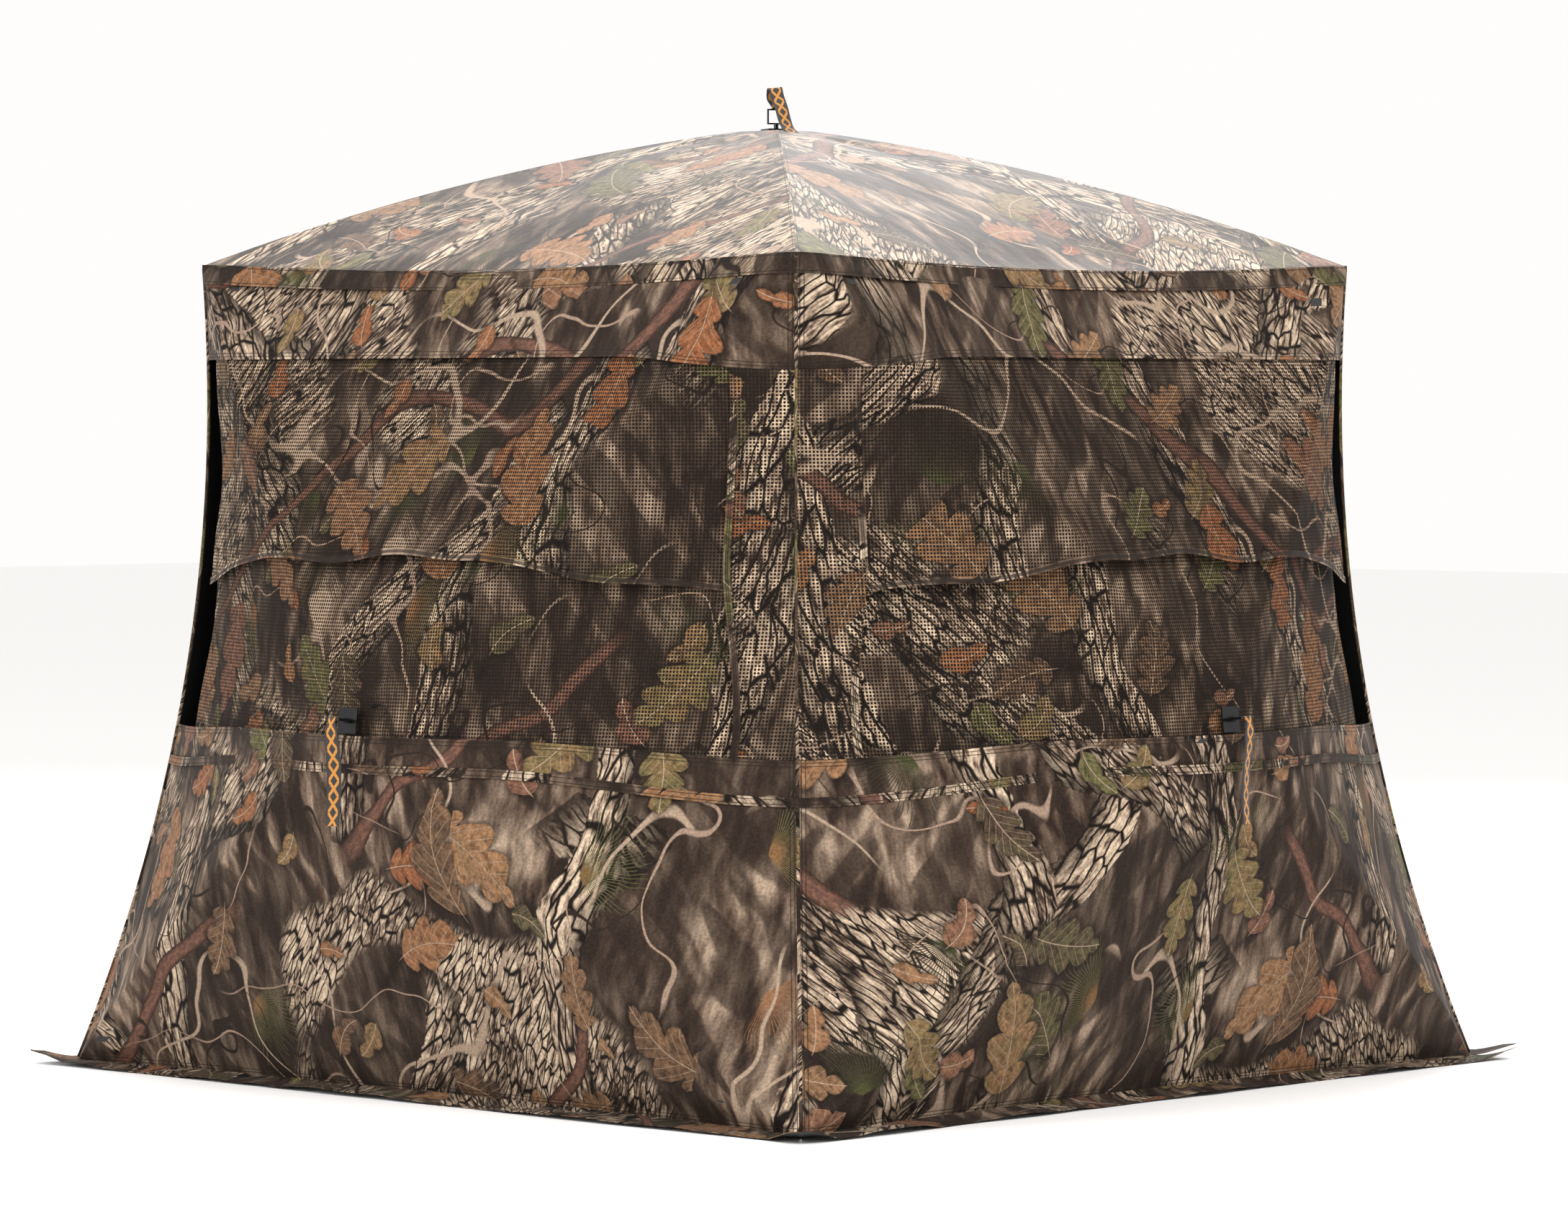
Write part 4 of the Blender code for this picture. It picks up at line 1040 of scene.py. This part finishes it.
def grid_piece(name, points, uv, edge, surfaces, turn, thickness=CLOTH):
    """A cloth piece from a grid of points. Its outside faces along (next column) x (next row)."""
    rows, columns = points.shape[:2]
    normal = np.cross(np.gradient(points, axis=1), np.gradient(points, axis=0))
    normal /= np.maximum(np.linalg.norm(normal, axis=-1, keepdims=True), 1e-9)
    faces = grid_faces(rows, columns, np.ones(rows))
    uvs = {"print": uv.reshape(-1, 2), "edge": edge.reshape(-1, 2)}
    return add_mesh(name, points.reshape(-1, 3), faces, normal.reshape(-1, 3), uvs, surfaces, turn, thickness)


def roof_sector(wall, seed, rows=44, columns=72):
    """The roof between two of its poles, from the eave to the hub."""
    share = np.linspace(0, 1, rows)[:, None] ** 0.92
    corner = float(corner_x(np.array([EAVE_HEIGHT]))[0])
    place = np.linspace(-1, 1, columns)[None, :]
    x = corner * place
    out = 1 - share
    height = EAVE_HEIGHT + pole_rise(share, ROOF_RISE)
    low = eave_z(x)
    overhang = wall_reach(x, low) + 0.004 * (1 - place**8) - corner
    points = np.stack([
        x * out,
        -(corner * out + overhang * out**2),
        height + (low - EAVE_HEIGHT) * out**2 + 0 * x,
    ], -1)
    slack = (value_noise(x * 5 + share * 3, share * 5, seed) - 0.5) * 0.010 * (1 - place**2)
    ripple = (value_noise(x * 22, share * 6, seed + 2) - 0.5) * 0.004 * smooth_step(out, 0.75, 0.98)
    points[..., 2] += (slack + ripple) * smooth_step(out, 0.06, 0.2) * smooth_step(share, 0.0, 0.05)
    length = float(np.hypot(corner, ROOF_RISE))
    uv = np.stack([x * out + seed * 1.7, share * length + 0 * x + seed], -1)
    to_ridge = (1 - np.abs(place)) * corner * out
    edge = np.stack([to_ridge, share * length + 0 * x], -1)
    turn = quarter_turn(wall)
    obj = grid_piece(f"roof_{wall}_sector", points, uv, edge, ROOF_PRINT_PAINTED_LIGHTER, turn)
    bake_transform(obj)
    declare(obj)


def skirt(wall, seed, rows=9, columns=150):
    """The strip of cloth that lies on the ground round the foot, with a wavy edge and tips that lift."""
    out = np.linspace(0, 1, rows)[:, None]
    place = np.linspace(-1, 1, columns)[None, :]
    foot = float(corner_x(np.array([HEM_FOOT]))[0])
    inner = place * foot
    wave = value_noise(inner * 6 + seed * 9, 0 * place, seed) - 0.5
    fine = value_noise(inner * 19, 0 * place, seed + 4) - 0.5
    tip = smooth_step(np.abs(place), 0.955, 1.0)
    broad = value_noise(inner * 2.3, 0 * place, seed + 7)
    reach = SKIRT_REACH * (1 + 0.24 * wave - 0.25 * broad) * (1 - tip)
    reach = reach + (SKIRT_REACH + 0.006) * tip
    top = hem_z(inner) + 0.002
    fall = (1 - out) ** 2.4
    lift = (0.009 * (0.5 + wave) + 0.004 * fine) * np.sin(out * math.pi * 0.5) ** 2 + 0.018 * tip * out**2
    roll = 0.004 * np.sin(out * math.pi) * (0.6 + wave)
    points = np.stack([
        inner + np.sign(place) * np.abs(place) ** 30 * reach * out,
        -(wall_reach(inner, hem_z(inner)) + 0.001 + reach * out),
        SKIRT_FLOOR + (top - SKIRT_FLOOR) * fall + lift + roll,
    ], -1)
    uv = np.stack([inner + 0 * out + seed, out * 0.07 + 0 * place + seed * 2], -1)
    edge = np.stack([(1 - np.abs(place)) * foot + 0.02 + 0 * out, (1 - out) * reach], -1)
    flipped = [values[::-1] for values in (points, uv, edge)]
    obj = grid_piece(f"{wall}_skirt_cloth", *flipped, SKIRT_PRINT, quarter_turn(wall))
    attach(obj, COVER)
    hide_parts(f"{wall}_skirt")
    declare(obj)


def tube_faces(rings, sides):
    """Quads round a tube of rings, and a face over each end."""
    faces = []
    for r in range(rings - 1):
        for c in range(sides):
            d = (c + 1) % sides
            faces.append([r * sides + c, r * sides + d, (r + 1) * sides + d, (r + 1) * sides + c])
    return faces + [list(reversed(range(sides))), [(rings - 1) * sides + c for c in range(sides)]]


def tube_piece(name, path, radius, surface, sides=8):
    """A round cord of rolled cloth along a path."""
    path = np.asarray(path, float)
    way = np.gradient(path, axis=0)
    way /= np.linalg.norm(way, axis=1, keepdims=True)
    side = np.cross(way, (0.3, 0.2, 1.0) if abs(way[0, 2]) < 0.9 else (1.0, 0.0, 0.0))
    side /= np.linalg.norm(side, axis=1, keepdims=True)
    up = np.cross(way, side)
    angle = np.linspace(0, math.tau, sides, endpoint=False)
    ring = np.cos(angle)[None, :, None] * side[:, None] + np.sin(angle)[None, :, None] * up[:, None]
    points = path[:, None] + ring * radius
    count = len(path)
    faces = tube_faces(count, sides)
    mesh = bpy.data.meshes.new(name)
    mesh.from_pydata(points.reshape(-1, 3).tolist(), [], faces)
    run = np.concatenate([[0], np.cumsum(np.linalg.norm(np.diff(path, axis=0), axis=1))])
    around = np.tile(angle * radius, count)
    uv = np.stack([around, np.repeat(run, sides)], -1)
    loops = np.array([v for f in faces for v in f])
    for layer_name, values in (("print", uv), ("edge", 0 * uv + 1)):
        mesh.uv_layers.new(name=layer_name).data.foreach_set("uv", values[loops].astype(np.float32).ravel())
    mesh.polygons.foreach_set("use_smooth", [True] * (len(faces) - 2) + [False] * 2)
    mesh.materials.append(surface)
    return linked(name, mesh)


def corner_piping(wall):
    z = np.linspace(0.012, EAVE_HEIGHT - 0.006, 90)
    x = corner_x(z)
    path = np.stack([x + 0.0005, -x - 0.0005, z], -1)
    turn = np.array(quarter_turn(wall).to_3x3())
    obj = tube_piece(f"corner_piping_{wall}", path @ turn.T, 0.0032, PIPING)
    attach(obj, COVER)


# ---------------------------------------------------------------- pull straps

STRAP_WIDTH = 0.025
WEB_THICK = 0.0018
LOOP_BAR = np.array((0, -1.12474, 0.67737))     # middle of the front loop's bar
ROOF_BAR = np.array((0, 0, 1.77))
ROOF_STRAP_TURN = math.radians(-27)


def smooth_path(points, count):
    """Catmull-Rom curve through points, read at even steps."""
    points = np.asarray(points, float)
    padded = np.vstack([2 * points[0] - points[1], points, 2 * points[-1] - points[-2]])
    found = []
    for i in range(1, len(padded) - 2):
        for t in np.linspace(0, 1, 14, endpoint=False):
            a, b, c, d = padded[i - 1 : i + 3]
            found.append(0.5 * (2 * b + (c - a) * t + (2 * a - 5 * b + 4 * c - d) * t**2
                                + (3 * b - a - 3 * c + d) * t**3))
    found = np.array(found + [points[-1]])
    run = np.concatenate([[0], np.cumsum(np.linalg.norm(np.diff(found, axis=0), axis=1))])
    even = np.linspace(0, run[-1], count)
    return np.stack([np.interp(even, run, found[:, k]) for k in range(points.shape[1])], -1), even


def strap_piece(name, body, node, path, width_ways, count=90):
    """Doubled webbing along a path, whose width points along width_ways, with its ends sewn together."""
    line, run = smooth_path(path, count)
    share = np.linspace(0, 1, count)
    stops = np.linspace(0, 1, len(width_ways))
    width = np.stack([np.interp(share, stops, np.asarray(width_ways, float)[:, k]) for k in range(3)], -1)
    way = np.gradient(line, axis=0)
    way /= np.linalg.norm(way, axis=1, keepdims=True)
    width -= way * (width * way).sum(1, keepdims=True)
    width /= np.linalg.norm(width, axis=1, keepdims=True)
    thick = np.cross(way, width)
    neck = smooth_step(run, 0.004, 0.030)
    half = STRAP_WIDTH / 2 * (0.62 + 0.38 * neck)
    depth = WEB_THICK * (0.8 + 0.25 * np.sin(run * 60) * neck)
    profile = [(-1, -1), (-0.6, -1.12), (0, -1.15), (0.6, -1.12), (1, -1), (1, 1), (0.6, 1.12), (0, 1.15),
               (-0.6, 1.12), (-1, 1)]
    sides = len(profile)
    ring = np.array(profile)
    points = (line[:, None] + width[:, None] * (ring[None, :, :1] * half[:, None, None])
              + thick[:, None] * (ring[None, :, 1:] * depth[:, None, None]))
    faces = tube_faces(count, sides)
    mesh = bpy.data.meshes.new(name)
    mesh.from_pydata(points.reshape(-1, 3).tolist(), [], faces)
    mesh.materials.append(WEBBING)
    across = ring[None, :, 0] * half[:, None]
    uv = np.stack([across, np.repeat(run[:, None], sides, 1)], -1).reshape(-1, 2)
    loops = np.array([v for f in faces for v in f])
    mesh.uv_layers.new(name="print").data.foreach_set("uv", uv[loops].astype(np.float32).ravel())
    mesh.polygons.foreach_set("use_smooth", [True] * len(faces))
    mesh.update()
    edit = bmesh.new()
    edit.from_mesh(mesh)
    bmesh.ops.recalc_face_normals(edit, faces=edit.faces)
    edit.to_mesh(mesh)
    edit.free()
    mesh.set_sharp_from_angle(angle=math.radians(50))
    obj = linked(name, mesh)
    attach(obj, body)
    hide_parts(node)


def wall_strap(wall, twist):
    """Hangs from the loop's bar. twist turns it away from facing straight out, in degrees at its middle."""
    turn = np.array(quarter_turn(wall).to_3x3())
    path = LOOP_BAR + np.array(((0, 0, 0.003), (0.001, -0.004, -0.012), (0.002, -0.003, -0.045),
                                (0.001, 0.002, -0.090), (-0.001, 0.003, -0.140), (0.000, -0.001, -0.186)))
    angles = np.radians([0, twist * 0.5, twist, twist, twist * 0.8, twist * 0.6])
    ways = [(math.cos(a), math.sin(a), 0) for a in angles]
    strap_piece(f"{wall}_pull_webbing", f"{wall}_strap", f"pull_strap_{wall}", path @ turn.T,
                np.array(ways) @ turn.T)


def roof_strap():
    """Stands up in a fold over the roof's loop and flops down beside it."""
    c, s = math.cos(ROOF_STRAP_TURN), math.sin(ROOF_STRAP_TURN)
    out, across, up = np.array((c, s, 0)), np.array((-s, c, 0)), np.array((0, 0, 1))
    steps = ((0, 0.002), (-0.008, 0.010), (-0.016, 0.022), (-0.014, 0.036), (-0.004, 0.038), (0.006, 0.024),
             (0.018, 0.012), (0.030, 0.000), (0.040, -0.014), (0.052, -0.028), (0.066, -0.038),
             (0.090, -0.048))
    path = [ROOF_BAR + out * a + up * b for a, b in steps]
    ways = [across, across + out * 0.4, across + up * 0.4, across, across - up * 0.2, across]
    strap_piece("roof_pull_webbing", "roof_strap", "pull_strap_roof", path, ways)


def finish_cad_nodes():
    """Better materials for the frame's own nodes: hubs, eyes, boots and poles."""
    surfaces = {"hub_eye": STEEL, "hub": PLASTIC, "corner_boot": RUBBER, "pole": FIBRE}
    for name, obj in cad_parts.items():
        for prefix, surface in surfaces.items():
            if name.startswith(prefix) and not (prefix == "hub" and name.startswith("hub_eye")):
                for material_slot in obj.material_slots:
                    material_slot.material = surface


def camera():
    """The camera at the photograph's viewing angle."""
    azimuth, pitch, distance, height = math.radians(43.16), math.radians(1.83), 12.01, 1.2154
    data = bpy.data.cameras.new("camera")
    data.sensor_width = 36.0
    data.lens = 148.27
    data.shift_x = 0.005
    obj = linked("camera", data)
    obj.location = (math.sin(azimuth) * distance, -math.cos(azimuth) * distance, height)
    obj.rotation_euler = (math.pi / 2 - pitch, 0, azimuth)
    bpy.context.scene.camera = obj


LIGHT_AIM = Vector((0, 0, 0.8))


def stage_and_light():
    bpy.ops.mesh.primitive_plane_add(size=60, location=(0, 0, 0))
    floor = bpy.context.object
    floor.name = "floor"
    made, _, shader = new_material("pale_floor")
    shader.inputs["Base Color"].default_value = (0.93, 0.925, 0.92, 1)
    shader.inputs["Roughness"].default_value = 0.9
    floor.data.materials.append(made)
    world = bpy.data.worlds.new("studio")
    bpy.context.scene.world = world
    world.use_nodes = True
    world.node_tree.nodes["Background"].inputs["Color"].default_value = (1.0, 0.985, 0.97, 1)
    world.node_tree.nodes["Background"].inputs["Strength"].default_value = 1.0
    bpy.context.scene.view_settings.view_transform = "Standard"
    for name, place, size, energy in (
        ("key", (5.5, -3.0, 6.0), 4.0, 420),
        ("fill", (-2.5, -7.5, 4.0), 5.0, 260),
        ("back", (-3.0, 5.0, 5.0), 4.0, 250),
    ):
        data = bpy.data.lights.new(name, "AREA")
        data.energy, data.size = energy, size
        lamp = linked(name, data)
        lamp.location = place
        lamp.rotation_euler = (LIGHT_AIM - Vector(place)).to_track_quat("-Z", "Y").to_euler()


camera()
stage_and_light()
for number, side in enumerate(WALLS):
    roof_sector(side, 2.0 + number)
    skirt(side, 1.0 + number * 0.6)
    corner_piping(side)
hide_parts("roof_canopy")
window_wall("front", 1.0)
window_wall("right", 1.3)
solid_wall("back", 3.1, doorway=True)
solid_wall("left", 4.2)
wall_strap("front", 38)
wall_strap("right", 16)
wall_strap("back", -15)
wall_strap("left", 20)
roof_strap()
finish_cad_nodes()
